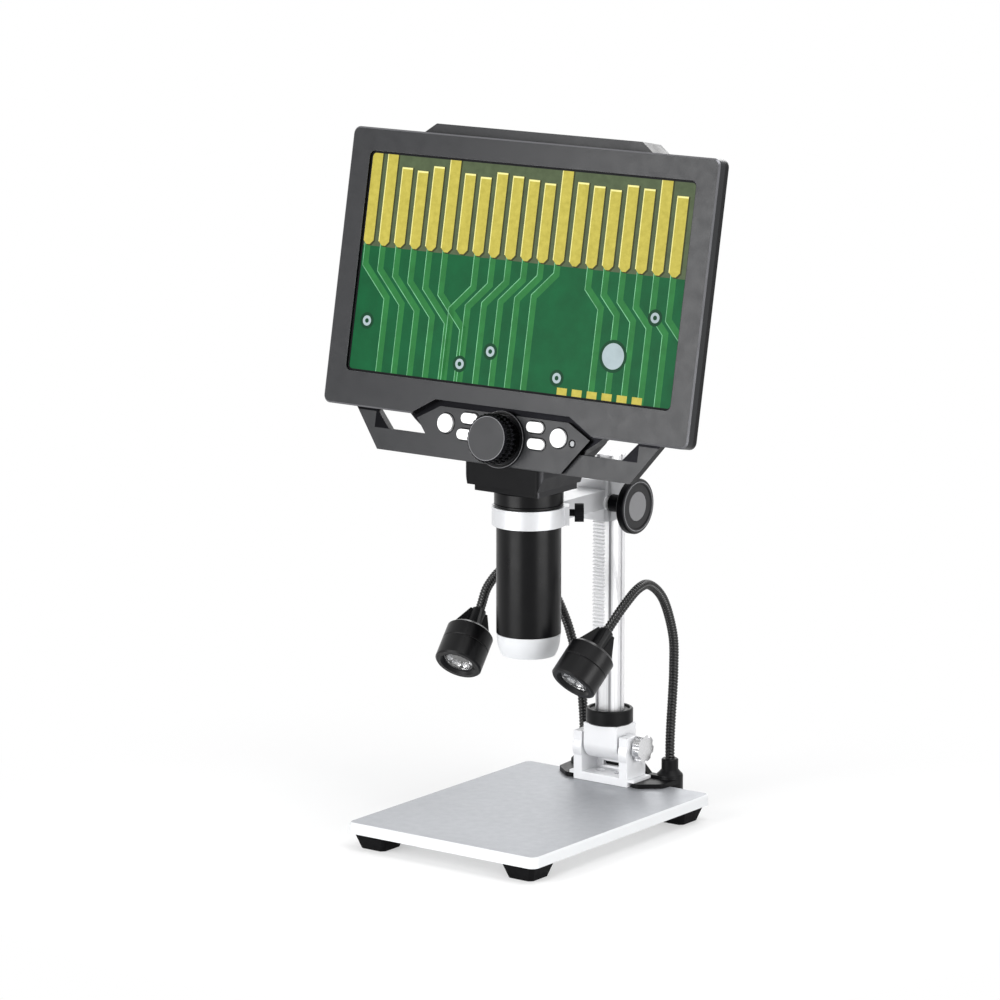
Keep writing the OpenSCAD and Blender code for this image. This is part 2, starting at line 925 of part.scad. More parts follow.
module clamp_screw() {
    color([0.06, 0.06, 0.07])
    on_clamp() {
        x_rod(clamp_screw_tip, clamp_head_x + eps, clamp_screw_d);
        translate([clamp_head_x, 0, 0])
            rotate([0, 90, 0])
                linear_extrude(clamp_head_l)
                    ribbed_disc(clamp_head_d, clamp_head_ribs, clamp_rib_r);
    }
}

// Disc with small round grooves cut in its rim
module ribbed_disc(d, ribs, rib_r) {
    difference() {
        circle(d = d, $fn = 96);
        for (i = [0:ribs - 1])
            rotate(i * 360 / ribs)
                translate([d / 2, 0])
                    circle(rib_r, $fn = 16);
    }
}

// Point of an involute on a base circle, turned by a
function involute(base, a) = [base * (cos(a) + a * PI / 180 * sin(a)),
    base * (sin(a) - a * PI / 180 * cos(a))];

// Flat outline of the pinion, one tooth along +X
module pinion_outline() {
    base = pinion_r * cos(pressure_angle);
    tip = pinion_r + addendum - 0.03;
    root = pinion_r - dedendum;
    steps = 5;
    roll_tip = sqrt(pow(tip / base, 2) - 1) * 180 / PI;
    roll_pitch = sqrt(pow(pinion_r / base, 2) - 1) * 180 / PI;
    pitch_turn = atan2(involute(base, roll_pitch)[1], involute(base, roll_pitch)[0]);
    half = 90 / pinion_teeth - backlash / 2 / pinion_r * 180 / PI / 2;
    turn = half + pitch_turn;
    flank = [for (i = [0:steps]) involute(base, roll_tip * i / steps)];
    function spin(p, a) = [p[0] * cos(a) - p[1] * sin(a), p[0] * sin(a) + p[1] * cos(a)];
    circle(root, $fn = 48);
    for (t = [0:pinion_teeth - 1])
        rotate(t * 360 / pinion_teeth)
            polygon(concat(
                [[0, 0], [(root - 0.05) * cos(turn), -(root - 0.05) * sin(turn)]],
                [for (p = flank) spin(p, -turn)],
                [for (i = [steps:-1:0]) let (p = flank[i]) spin([p[0], -p[1]], turn)],
                [[(root - 0.05) * cos(turn), (root - 0.05) * sin(turn)]]));
}

module pinion_shaft() {
    color([0.75, 0.75, 0.78])
    translate([0, pinion_y, knob_z]) {
        x_rod(-carriage_w / 2 + pinion_cap_t + air_gap, knob_seat_x, knob_shaft_d);
        translate([-rack_w / 2, 0, 0])
            rotate([90, 0, 90])
                linear_extrude(rack_w)
                    pinion_outline();
        x_rod(rack_w / 2 + air_gap, carriage_w / 2 - 1, pinion_pocket_d - 2 * run_gap);
    }
}

module focus_knob() {
    r = knob_d / 2;
    disc_r = knob_disc_d / 2 + fit_gap;
    shaft_r = knob_shaft_d / 2 + eps;
    hub_r = knob_hub_d / 2;
    hub_x = carriage_w / 2 + air_gap;
    dish_x = knob_outer_x - knob_dish;
    color([0.12, 0.12, 0.13])
    translate([0, pinion_y, knob_z])
        rotate([0, 90, 0])
            rotate_extrude($fn = 96)
                polygon([[shaft_r, hub_x], [hub_r, hub_x], [hub_r, knob_inner_x],
                    [r - knob_rim, knob_inner_x], [r, knob_inner_x + knob_rim],
                    [r, knob_outer_x - knob_rim], [r - knob_rim, knob_outer_x],
                    [r - knob_dish_edge, knob_outer_x], [r - knob_dish_edge - knob_dish, dish_x],
                    [disc_r, dish_x], [disc_r, knob_seat_x], [shaft_r, knob_seat_x]]);
}

module knob_disc() {
    color([0.42, 0.42, 0.43])
    translate([0, pinion_y, knob_z])
        x_rod(knob_seat_x, knob_seat_x + knob_disc_t, knob_disc_d);
}

// ------------------------------------------------------------- microscope

module barrel() {
    length = neck_bottom + neck_h - barrel_bottom;
    color([0.08, 0.08, 0.09])
    on_barrel(barrel_bottom)
        rotate_extrude($fn = 96)
            polygon([[barrel_r - barrel_wall, 0], [barrel_r - 0.4, 0], [barrel_r, 0.4],
                [barrel_r, length], [barrel_r - barrel_wall, length]]);
}

module barrel_neck() {
    r = neck_d / 2;
    color([0.12, 0.12, 0.13])
    on_barrel(neck_bottom)
        rotate_extrude($fn = 96)
            polygon([[barrel_r + eps, 0], [r - 0.5, 0], [r, 0.5], [r, 1.4], [r - 0.35, 1.6],
                [r, 1.8], [r, neck_h - 1.2], [r - 0.6, neck_h], [barrel_r + eps, neck_h]]);
}

module lens_hood() {
    top_r = barrel_r - 0.1;
    end_r = hood_end_d / 2;
    bend = [for (a = [0:15:90])
        [end_r + (top_r - end_r) * sin(a) * 0.9, 2 - 2 * cos(a) + (hood_h - 4) * a / 90]];
    color([0.9, 0.9, 0.92])
    on_barrel(hood_bottom)
        rotate_extrude($fn = 96)
            polygon(concat([[end_r - hood_wall - 0.6, 0], [end_r - 0.6, 0]], bend,
                [[top_r, hood_h], [barrel_r - barrel_wall - fit_gap, hood_h],
                    [barrel_r - barrel_wall - fit_gap, hood_h + hood_lip],
                    [barrel_r - barrel_wall - 1.2, hood_h + hood_lip],
                    [barrel_r - barrel_wall - 1.2, hood_h - 2],
                    [end_r - hood_wall, 3]]));
}

module light_ring() {
    color([0.9, 0.9, 0.85])
    on_barrel(barrel_bottom + hood_lip - fit_gap) {
        difference() {
            translate([0, 0, fit_gap])
                cylinder(h = ring_board_t, r = barrel_r - barrel_wall - fit_gap);
            cylinder(h = ring_board_t + 1, d = tube_d + 2 * air_gap);
        }
        for (i = [0:light_count - 1])
            rotate(i * 360 / light_count)
                translate([tube_d / 2 + 1.8, 0, fit_gap - 0.8])
                    cylinder(h = 0.8 + eps, d = 2, $fn = 24);
    }
}

module lens_tube() {
    length = 34;
    color([0.1, 0.1, 0.11])
    on_barrel(barrel_bottom + 1)
        rotate_extrude()
            polygon([[lens_d / 2 - 0.8, 0], [tube_d / 2 - 1, 0], [tube_d / 2, 1], [tube_d / 2, length],
                [tube_d / 2 + 2, length], [barrel_r - barrel_wall - run_gap, length],
                [barrel_r - barrel_wall - run_gap, length + 8],
                [tube_d / 2 - tube_wall, length + 8], [tube_d / 2 - tube_wall, 4],
                [lens_d / 2 + fit_gap, 4], [lens_d / 2 + fit_gap, 1],
                [lens_d / 2 - 0.8, 1]]);
}

module objective_lens() {
    color([0.6, 0.7, 0.85, 0.6])
    on_barrel(barrel_bottom + 1.4)
        rotate_extrude()
            polygon(concat([[0, 2.6]], [for (a = [0:6:30])
                [lens_d / 2 * sin(a) / sin(30), 0.9 * (1 - cos(a)) / (1 - cos(30))]],
                [[lens_d / 2, 2.6]]));
}

// Side view of the camera housing, forward is to the left
module head_outline() {
    c = cos(screen_lean);
    s = sin(screen_lean);
    function at(u, d) = [screen_y + u * s + d * c, screen_z + u * c - d * s];
    back = screen_depth + fit_gap;
    slope = (screen_depth - bezel_edge) / cover_inset;
    flat_low = -bezel_h / 2 + cover_inset;
    step = body_top + fit_gap;
    a = at(wing_low - fit_gap, back);
    b = at(spine_top, back);
    polygon([
        [-head_front, head_z],
        [head_back, head_z],
        [head_back, a[1] + 8],
        [b[0] + spine_t + 2, b[1] - 3],
        [b[0] + spine_t, b[1]],
        b,
        at(flat_low, back),
        at(step, back - slope * (flat_low - step)),
        at(step, back),
        a,
        [-head_front, a[1] + (a[0] + head_front) * s / c]]);
}

// Front view of the camera housing: its sides close in towards the bottom
module head_front_view() {
    half = [[head_w / 2 - head_draft, head_z - 1], [head_w / 2 - head_draft, head_z],
        [head_w / 2 + head_draft, head_z + 2 * head_draft_h],
        [head_w / 2 + head_draft, head_z + head_rise]];
    polygon(concat(half, [for (i = [3:-1:0]) [-half[i][0], half[i][1]]]));
}

module head_housing() {
    color([0.16, 0.16, 0.17])
    difference() {
        union() {
            intersection() {
                rotate([90, 0, 90])
                    linear_extrude(head_w + 2, center = true)
                        head_outline();
                translate([0, head_depth / 2 - head_front, head_z - 1])
                    linear_extrude(head_rise)
                        round_rect(head_w, head_depth, head_corner_r);
                translate([0, head_depth, 0])
                    rotate([90, 0, 0])
                        linear_extrude(2 * head_depth)
                            head_front_view();
            }
            translate([0, foot_plate_l / 2 - foot_plate_front, head_z - foot_plate_h])
                linear_extrude(foot_plate_h + eps)
                    round_rect(foot_plate_w, foot_plate_l, foot_plate_r);
        }
        // Room for the sensor board above the barrel
        on_barrel(head_z - foot_plate_h - 1)
            cylinder(h = 1 + sensor_floor, r = barrel_r - barrel_wall);
        translate([-sensor_board_w / 2 - fit_gap, barrel_y - sensor_board_l / 2 - fit_gap,
            head_z - foot_plate_h + sensor_floor - eps])
            cube([sensor_board_w + 2 * fit_gap, sensor_board_l + 2 * fit_gap, sensor_room_h]);
        port_pocket(usb_z, usb_w + 2 * fit_gap, usb_h + 2 * fit_gap, port_depth + fit_gap);
        port_pocket(card_z, card_w + 2 * fit_gap, card_h + 2 * fit_gap, port_depth + fit_gap);
        on_screen()
            for (sx = [-1, 1], y = spine_screw_y)
                translate([sx * spine_screw_x, y, 0]) {
                    translate([0, 0, -screen_depth - spine_screw_seat - spine_tool_l])
                        cylinder(h = spine_tool_l, d = spine_screw_head_d + 2 * fit_gap, $fn = 32);
                    translate([0, 0, -screen_depth - spine_screw_seat - 1])
                        cylinder(h = spine_screw_seat + 2, d = spine_screw_d + 2 * fit_gap, $fn = 32);
                }
    }
}

// Slot cut into the housing's left side, above the camera plate
module port_pocket(z, w, h, depth) {
    translate([-head_w / 2 - eps, port_y - w / 2, head_z + z - h / 2])
        cube([depth, w, h]);
}

module side_ports() {
    color("silver") {
        difference() {
            translate([fit_gap, 0, 0])
                port_pocket(usb_z, usb_w, usb_h, port_depth - fit_gap);
            translate([-fit_gap, 0, 0])
                port_pocket(usb_z, usb_w - 0.8, usb_h - 0.8, port_depth - 1);
        }
        difference() {
            translate([fit_gap, 0, 0])
                port_pocket(card_z, card_w, card_h, port_depth - fit_gap);
            translate([-fit_gap, 0, 0])
                port_pocket(card_z, card_w - 0.8, card_h - 0.8, port_depth - 1);
        }
    }
}

module spine_screws() {
    color([0.2, 0.2, 0.22])
    on_screen()
        for (sx = [-1, 1], y = spine_screw_y)
            translate([sx * spine_screw_x, y, -screen_depth - spine_screw_seat]) {
                translate([0, 0, -spine_screw_head_h])
                    cylinder(h = spine_screw_head_h, d = spine_screw_head_d, $fn = 32);
                translate([0, 0, -eps])
                    cylinder(h = spine_screw_l, d = spine_screw_d, $fn = 32);
            }
}

module sensor_board() {
    color([0.1, 0.35, 0.2])
    translate([0, barrel_y, head_z - foot_plate_h + sensor_floor]) {
        translate([-sensor_board_w / 2, -sensor_board_l / 2, 0])
            cube([sensor_board_w, sensor_board_l, 1.6]);
        translate([-5, -5, -1.2])
            cube([10, 10, 1.2 + eps]);
    }
}

// ----------------------------------------------------------- control panel

module panel_outline() {
    polygon([[-panel_top_x, panel_top], [panel_top_x, panel_top], [panel_mid_x, panel_mid],
        [panel_low_x, panel_low], [-panel_low_x, panel_low], [-panel_mid_x, panel_mid]]);
}

// Outline of the panel housing behind its face, between the wings
module body_outline(top_x, shoulder_x, low_x) {
    notch_x = notch_wide + air_gap;
    half = concat([[notch_narrow + air_gap, body_top], [min(top_x, notch_x), wing_top]],
        top_x > notch_x ? [[top_x, wing_top]] : [],
        [[shoulder_x, wing_top - body_shoulder], [low_x, window_low], [panel_low_x + 1, wing_low]]);
    last = len(half) - 1;
    polygon(concat(half, [for (i = [last:-1:0]) [-half[i][0], half[i][1]]]));
}

module wing_outline() {
    polygon([[0, wing_low], [wing_low_x, wing_low], [wing_out_x, wing_top],
        [window_top_x, wing_top], [window_low_x, window_low], [0, window_low]]);
}

// Hollow inside the panel housing, shrunk all round
module room_outline(shrink) {
    half = [[room_top_x, panel_top - room_edge_top - shrink], [room_mid_x - shrink, panel_mid],
        [room_top_x, panel_low + room_edge_low + shrink]];
    polygon(concat(half, [for (i = [2:-1:0]) [-half[i][0], half[i][1]]]));
}

module button_holes(extra) {
    for (s = [-1, 1]) {
        translate([s * round_button_x, round_button_y])
            circle(d = round_button_d + extra);
        translate([s * upper_button_x, upper_button_y])
            oval(oval_button_l + extra, oval_button_w + extra);
        translate([s * lower_button_x, lower_button_y])
            oval(oval_button_l + extra, oval_button_w + extra);
    }
}

module control_housing() {
    front_room = panel_depth + panel_wall;
    color([0.32, 0.32, 0.34])
    on_screen()
    difference() {
        union() {
            slab(wing_depth + eps, panel_depth)
                panel_outline();
            slab(body_front_depth, wing_depth)
                body_outline(body_top_x, body_shoulder_x, body_low_x);
            slab(screen_depth, body_front_depth - eps)
                body_outline(body_back_top_x, body_back_top_x - 1, body_back_low_x);
            both_sides()
                slab(wing_depth + wing_t, wing_depth)
                    wing_outline();
        }
        // Hollow for the button board
        slab(screen_depth - panel_wall, front_room)
            room_outline(0);
        slab(front_room + 1, panel_depth - 1)
            button_holes(2 * button_gap);
        translate([0, wheel_y, -screen_depth - 1])
            cylinder(h = screen_depth, d = wheel_shaft_d + 2 * run_gap);
        translate([status_x, status_y, -front_room - 1])
            cylinder(h = front_room, d = status_d + 2 * fit_gap, $fn = 32);
    }
}

module button_board() {
    top = panel_depth + panel_wall + button_flange_t + button_travel + 0.5;
    color([0.1, 0.35, 0.2])
    on_screen() {
        difference() {
            slab(top + button_board_t, top)
                room_outline(0.4);
            translate([0, wheel_y, -top - button_board_t - 1])
                cylinder(h = 4, d = wheel_shaft_d + 2);
        }
        slab(top + eps, top - 0.3)
            button_holes(-1.5);
        for (s = [-1, 1])
            translate([s * board_post_x, board_post_y, -screen_depth + panel_wall])
                cylinder(h = screen_depth - panel_wall - top - button_board_t + eps, d = 4, $fn = 32);
    }
}

module status_light() {
    color([0.7, 0.75, 0.8])
    on_screen()
        translate([status_x, status_y, -panel_depth - panel_wall - 1])
            cylinder(h = panel_wall + 0.8, d = status_d, $fn = 32);
}

// A button with its retaining flange: the first child is its outline, the
// second the outline of its flange
module button_body(x, y) {
    front = panel_depth + panel_wall + fit_gap;
    color([0.95, 0.95, 0.96])
    on_screen()
        translate([x, y, 0]) {
            slab(front + button_flange_t - eps, panel_depth - button_proud)
                children(0);
            slab(front + button_flange_t, front)
                children(1);
        }
}

module round_button(side) {
    button_body(side * round_button_x, round_button_y) {
        circle(d = round_button_d);
        circle(d = round_button_d + 2 * button_flange);
    }
}

module oval_button(x, y) {
    button_body(x, y) {
        oval(oval_button_l, oval_button_w);
        oval(oval_button_l + 2 * button_flange, oval_button_w + 2 * button_flange);
    }
}

module round_button_left() {
    round_button(-1);
}

module round_button_right() {
    round_button(1);
}

module upper_button_left() {
    oval_button(-upper_button_x, upper_button_y);
}

module upper_button_right() {
    oval_button(upper_button_x, upper_button_y);
}

module lower_button_left() {
    oval_button(-lower_button_x, lower_button_y);
}

module lower_button_right() {
    oval_button(lower_button_x, lower_button_y);
}

module wheel_trim() {
    color([0.1, 0.1, 0.11])
    on_screen()
        translate([0, wheel_y, -panel_depth])
            difference() {
                cylinder(h = trim_t, d = trim_d, $fn = 96);
                translate([0, 0, -1])
                    cylinder(h = trim_t + 2, d = wheel_d + 2 * air_gap, $fn = 96);
            }
}

module focus_wheel() {
    color([0.13, 0.13, 0.14])
    on_screen()
        translate([0, wheel_y, -panel_depth + air_gap])
            difference() {
                union() {
                    cylinder(h = wheel_foot_h, d = wheel_d - 2 * wheel_foot_inset);
                    translate([0, 0, wheel_foot_h - eps])
                        linear_extrude(wheel_l - 1 - wheel_foot_h)
                            ribbed_disc(wheel_d, wheel_ribs, wheel_rib_r);
                    translate([0, 0, wheel_l - 1 - 2 * eps])
                        cylinder(h = 1, d1 = wheel_d - 2 * wheel_rib_r - 0.3, d2 = wheel_d - 2.4);
                    translate([0, 0, -wheel_stem])
                        cylinder(h = wheel_stem + eps, d = wheel_shaft_d);
                }
                translate([0, 0, wheel_l - wheel_cap_t])
                    cylinder(h = 2, d = wheel_cap_d + 2 * fit_gap);
            }
}

module wheel_cap() {
    color([0.24, 0.24, 0.25])
    on_screen()
        translate([0, wheel_y, -panel_depth + air_gap + wheel_l - wheel_cap_t])
            cylinder(h = wheel_cap_t, d = wheel_cap_d);
}

// ----------------------------------------------------------------- screen

// Cut-out at the bottom of the bezel and rear cover, above the panel
module notch(grow) {
    low = -bezel_h / 2;
    polygon([[-notch_wide - grow, low - 1], [notch_wide + grow, low - 1],
        [notch_wide + grow, low], [notch_narrow + grow, low + notch_rise + grow],
        [-notch_narrow - grow, low + notch_rise + grow], [-notch_wide - grow, low]]);
}

module bezel() {
    color([0.33, 0.33, 0.35])
    on_screen()
    difference() {
        hull() {
            slab(bezel_t, 0.8)
                round_rect(bezel_w, bezel_h, bezel_r);
            slab(bezel_t, 0)
                round_rect(bezel_w - 1.6, bezel_h - 1.6, bezel_r - 0.8);
        }
        slab(bezel_t + 1, -1)
            translate([0, view_up])
                round_rect(view_w, view_h, view_r);
        slab(bezel_t + 1, bezel_lip)
            translate([0, view_up])
                square([view_w + 2 * glass_border + 2 * fit_gap,
                    view_h + 2 * glass_border + 2 * fit_gap], center = true);
        slab(bezel_t + 1, -1)
            notch(0);
    }
}

module screen_glass() {
    color([0.1, 0.12, 0.12, 0.5])
    on_screen()
        translate([0, view_up])
            slab(bezel_lip + glass_t, bezel_lip)
                square([view_w + 2 * glass_border, view_h + 2 * glass_border], center = true);
}

module display_panel() {
    front = bezel_lip + glass_t;
    color([0.1, 0.4, 0.2])
    on_screen()
        translate([0, view_up])
            slab(front + display_t, front)
                square([view_w + 2 * glass_border, view_h + 2 * glass_border], center = true);
}

// Solid form of the rear cover, shrunk by a wall thickness
module cover_form(shrink) {
    hull() {
        slab(bezel_edge - shrink, bezel_t - shrink)
            round_rect(bezel_w - 2 * shrink, bezel_h - 2 * shrink, bezel_r);
        slab(screen_depth - shrink, bezel_t - shrink)
            round_rect(bezel_w - 2 * cover_inset - 2 * shrink,
                bezel_h - 2 * cover_inset - 2 * shrink, bezel_r);
    }
}

// Raised ridge across the top of the rear cover
module cover_hump() {
    high = bezel_h / 2;
    slab(screen_depth, hump_front + eps)
        polygon([[-hump_wide, high + eps], [hump_wide, high + eps],
            [hump_narrow, high + hump_rise], [-hump_narrow, high + hump_rise]]);
    slab(screen_depth, bezel_t)
        translate([-hump_narrow, high - hump_back_l])
            square([2 * hump_narrow, hump_back_l + 2 * eps]);
}

module rear_cover() {
    color([0.2, 0.2, 0.21])
    on_screen()
    difference() {
        union() {
            cover_form(0);
            cover_hump();
        }
        difference() {
            cover_form(cover_wall);
            slab(screen_depth, 0)
                notch(1 + cover_wall);
            for (sx = [-1, 1], sy = [-1, 1])
                translate([sx * cover_screw_x, sy * cover_screw_y, -screen_depth])
                    cylinder(h = screen_depth, d = 8);
            for (sx = [-1, 1], y = spine_screw_y)
                translate([sx * spine_screw_x, y, -screen_depth])
                    cylinder(h = screen_depth, d = 7);
        }
        slab(screen_depth + 1, 0)
            notch(1);
        slab(bezel_lip + glass_t + display_t + fit_gap, 0)
            translate([0, view_up])
                square([view_w + 2 * glass_border + 2 * fit_gap,
                    view_h + 2 * glass_border + 2 * fit_gap], center = true);
        for (sx = [-1, 1], sy = [-1, 1])
            translate([sx * cover_screw_x, sy * cover_screw_y, -screen_depth - 1]) {
                cylinder(h = 3, d = cover_screw_head_d + 2 * fit_gap, $fn = 32);
                cylinder(h = 9, d = cover_screw_d + 2 * fit_gap, $fn = 32);
            }
        for (sx = [-1, 1], y = spine_screw_y)
            translate([sx * spine_screw_x, y, -screen_depth - 1])
                cylinder(h = 8, d = spine_screw_d + 2 * fit_gap, $fn = 32);
    }
}

module main_board() {
    front = bezel_lip + glass_t + display_t + 2;
    color([0.1, 0.35, 0.2])
    on_screen() {
        translate([0, main_board_y])
            slab(front + 1.6, front)
                square([main_board_w, main_board_l], center = true);
        for (sx = [-1, 1], sy = [-1, 1])
            translate([sx * (main_board_w / 2 - main_post_inset_x),
                main_board_y + sy * (main_board_l / 2 - main_post_inset_y), -screen_depth + cover_wall])
                cylinder(h = screen_depth - cover_wall - front - 1.6 + eps, d = 5, $fn = 32);
    }
}

module battery_pack() {
    color([0.2, 0.3, 0.6])
    on_screen()
        translate([0, main_board_y])
            slab(screen_depth - cover_wall, screen_depth - cover_wall - 5.6)
                round_rect(battery_w, battery_l, 2);
}

module cover_screws() {
    color("silver")
    on_screen()
        for (sx = [-1, 1], sy = [-1, 1])
            translate([sx * cover_screw_x, sy * cover_screw_y, -screen_depth]) {
                translate([0, 0, 0.4])
                    cylinder(h = 1.6, d = cover_screw_head_d, $fn = 32);
                translate([0, 0, 2 - eps])
                    cylinder(h = 5.8, d = cover_screw_d, $fn = 32);
            }
}

// ------------------------------------------------------------------ lamps

// Smooth point between p1 and p2 of four route points
function spline(p0, p1, p2, p3, t) =
    0.5 * (2 * p1 + (p2 - p0) * t + (2 * p0 - 5 * p1 + 4 * p2 - p3) * t * t
        + (3 * p1 - p0 - 3 * p2 + p3) * t * t * t);

function unit(v) = v / norm(v);

function hose_path(route) = let (n = len(route))
    concat([for (i = [0:n - 2], k = [0:hose_step - 1])
        spline(route[max(i - 1, 0)], route[i], route[i + 1], route[min(i + 2, n - 1)],
            k / hose_step)], [route[n - 1]]);

// Tube swept along a path of points
module sweep_tube(path, r, sides) {
    n = len(path);
    tangents = [for (i = [0:n - 1]) unit(path[min(i + 1, n - 1)] - path[max(i - 1, 0)])];
    rings = [for (i = [0:n - 1])
        let (side = unit(cross(tangents[i], [1, 0, 0])), up = cross(side, tangents[i]))
        each [for (k = [0:sides - 1])
            path[i] + r * (cos(k * 360 / sides) * side + sin(k * 360 / sides) * up)]];
    walls = [for (i = [0:n - 2], k = [0:sides - 1])
        let (a = i * sides + k, b = i * sides + (k + 1) % sides)
        each [[a, b, a + sides], [b, b + sides, a + sides]]];
    first = [for (k = [sides - 1:-1:0]) k];
    last = [for (k = [0:sides - 1]) (n - 1) * sides + k];
    polyhedron(rings, concat(walls, [first, last]), convexity = 6);
}

module gooseneck() {
    approach = lamp_front + lamp_axis * (lamp_total + 3);
    color([0.07, 0.07, 0.07])
        sweep_tube(hose_path(concat(hose_route, [approach, hose_end])), hose_d / 2, hose_sides);
}

module lamp_head() {
    r = lamp_d / 2;
    lens_r = lamp_lens_d / 2;
    back_r = r - lamp_back_edge;
    color([0.07, 0.07, 0.08])
    on_lamp()
        difference() {
            union() {
                rotate_extrude($fn = 96)
                    polygon([[0, lamp_floor], [lens_r, lamp_floor], [lens_r, lamp_bevel],
                        [lens_r + lamp_bevel, 0], [r - lamp_edge, 0], [r, lamp_edge],
                        [r, lamp_seam_z - lamp_seam], [r - lamp_seam, lamp_seam_z],
                        [r, lamp_seam_z + lamp_seam], [r, lamp_l - lamp_back_edge],
                        [back_r, lamp_l], [lamp_socket_d / 2, lamp_l],
                        [lamp_socket_tip_d / 2, lamp_total], [0, lamp_total]]);
                for (i = [0:lamp_fins - 1])
                    rotate(lamp_fin_turn + i * 360 / lamp_fins)
                        lamp_fin();
            }
            translate([0, 0, lamp_total - hose_seat - fit_gap])
                cylinder(h = hose_seat + 1, d = hose_d + 4 * run_gap);
        }
}

// Cooling fin on the back of a lamp head, from the axis outwards
module lamp_fin() {
    rotate([90, 0, 0])
        linear_extrude(lamp_fin_t, center = true)
            polygon([[0, lamp_l - eps], [lamp_fin_r, lamp_l - eps],
                [lamp_fin_tip_r, lamp_l + lamp_fin_l], [0, lamp_l + lamp_fin_l]]);
}

module lamp_lens() {
    color([0.85, 0.88, 0.9, 0.5])
    on_lamp()
        translate([0, 0, lamp_lens_z])
            cylinder(h = lamp_lens_t, d = lamp_lens_d - 2 * fit_gap);
}

module lamp_chip() {
    color([0.95, 0.9, 0.6])
    on_lamp()
        translate([0, 0, lamp_floor - lamp_chip_t]) {
            cylinder(h = lamp_chip_t, d = lamp_chip_d, $fn = 32);
            translate([-led_w / 2, -led_w / 2, -led_h])
                cube([led_w, led_w, led_h + eps]);
        }
}

module gooseneck_right() {
    gooseneck();
}

module gooseneck_left() {
    mirror([1, 0, 0])
        gooseneck();
}

module lamp_head_right() {
    lamp_head();
}

module lamp_head_left() {
    mirror([1, 0, 0])
        lamp_head();
}

module lamp_lens_right() {
    lamp_lens();
}

module lamp_lens_left() {
    mirror([1, 0, 0])
        lamp_lens();
}

module lamp_chip_right() {
    lamp_chip();
}

module lamp_chip_left() {
    mirror([1, 0, 0])
        lamp_chip();
}

// ------------------------------------------------------------------ nodes

centred() base_plate();
centred() rubber_feet();
centred() foot_screws();
centred() hinge_bracket();
centred() bracket_screws();
centred() lamp_clip_left();
centred() lamp_clip_right();
centred() tilt_block();
centred() column_collar();
centred() column();
centred() rack();
centred() tilt_bolt();
centred() tilt_knob();
centred() tilt_nut();
centred() carriage();
centred() slide_pad();
centred() pad_screws();
centred() clamp_screw();
centred() pinion_shaft();
centred() focus_knob();
centred() knob_disc();
centred() barrel();
centred() barrel_neck();
centred() lens_hood();
centred() light_ring();
centred() lens_tube();
centred() objective_lens();
centred() head_housing();
centred() sensor_board();
centred() control_housing();
centred() button_board();
centred() status_light();
centred() wheel_trim();
centred() focus_wheel();
centred() wheel_cap();
centred() round_button_left();
centred() round_button_right();
centred() upper_button_left();
centred() upper_button_right();
centred() lower_button_left();
centred() lower_button_right();
centred() bezel();
centred() screen_glass();
centred() display_panel();
centred() rear_cover();
centred() main_board();
centred() battery_pack();
centred() cover_screws();
centred() spine_screws();
centred() side_ports();
centred() gooseneck_left();
centred() gooseneck_right();
centred() lamp_head_left();
centred() lamp_head_right();
centred() lamp_lens_left();
centred() lamp_lens_right();
centred() lamp_chip_left();
centred() lamp_chip_right();
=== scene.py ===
"""Looks of the desk microscope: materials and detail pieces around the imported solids.

Metres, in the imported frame: +X the viewer's right, +Y away, +Z up. The origin is the centre of the
whole outline seen from above, on the surface that the microscope stands on.

In order: named frames, materials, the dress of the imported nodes, added pieces, studio. A name that
ends in _MM holds plain millimetres; every other length is in metres.
"""
import json
import math

import bmesh
import bpy
from mathutils import Matrix, Vector


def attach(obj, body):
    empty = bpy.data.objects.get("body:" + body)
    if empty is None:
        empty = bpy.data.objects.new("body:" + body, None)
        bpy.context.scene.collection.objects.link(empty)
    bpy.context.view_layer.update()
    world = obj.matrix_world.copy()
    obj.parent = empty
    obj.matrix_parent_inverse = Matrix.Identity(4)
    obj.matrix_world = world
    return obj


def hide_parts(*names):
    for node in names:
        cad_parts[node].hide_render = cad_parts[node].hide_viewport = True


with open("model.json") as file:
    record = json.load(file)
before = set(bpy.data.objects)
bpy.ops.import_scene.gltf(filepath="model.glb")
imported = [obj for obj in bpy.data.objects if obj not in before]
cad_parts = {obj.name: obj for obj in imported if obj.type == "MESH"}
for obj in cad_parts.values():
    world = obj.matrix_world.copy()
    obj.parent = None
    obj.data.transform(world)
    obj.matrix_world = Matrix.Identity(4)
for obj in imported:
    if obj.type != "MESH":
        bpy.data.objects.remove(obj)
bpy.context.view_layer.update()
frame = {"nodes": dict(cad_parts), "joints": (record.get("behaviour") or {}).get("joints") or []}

MM = 0.001
NODES = frame["nodes"]
JOINTS = {joint["name"]: joint for joint in frame["joints"]}

# ---------------------------------------------------------------- named sizes

# Camera that took the reference view, fitted to the object's corners
VIEW_TURN = math.radians(36.433)
VIEW_HEIGHT = math.radians(11.373)
VIEW_DISTANCE = 2.4313
VIEW_TARGET = Vector((-0.019465, -0.007275, 0.17099))
VIEW_LENS_MM = 173.30

# Screen frame, worked out from the focus wheel's axis
WHEEL_BELOW_CENTRE = 77.8 * MM
SCREEN_OUT = Vector(JOINTS["focus_wheel_turn"]["axis"]).normalized()
SCREEN_UP = Vector((0, SCREEN_OUT.z, -SCREEN_OUT.y))
SCREEN_RIGHT = Vector((1, 0, 0))
SCREEN_CENTRE = Vector(JOINTS["focus_wheel_turn"]["pos_m"]) + SCREEN_UP * WHEEL_BELOW_CENTRE

# The plate's centre lies in front of the origin by this much
PLATE_CENTRE = Vector((0, -7.275, 0)) * MM

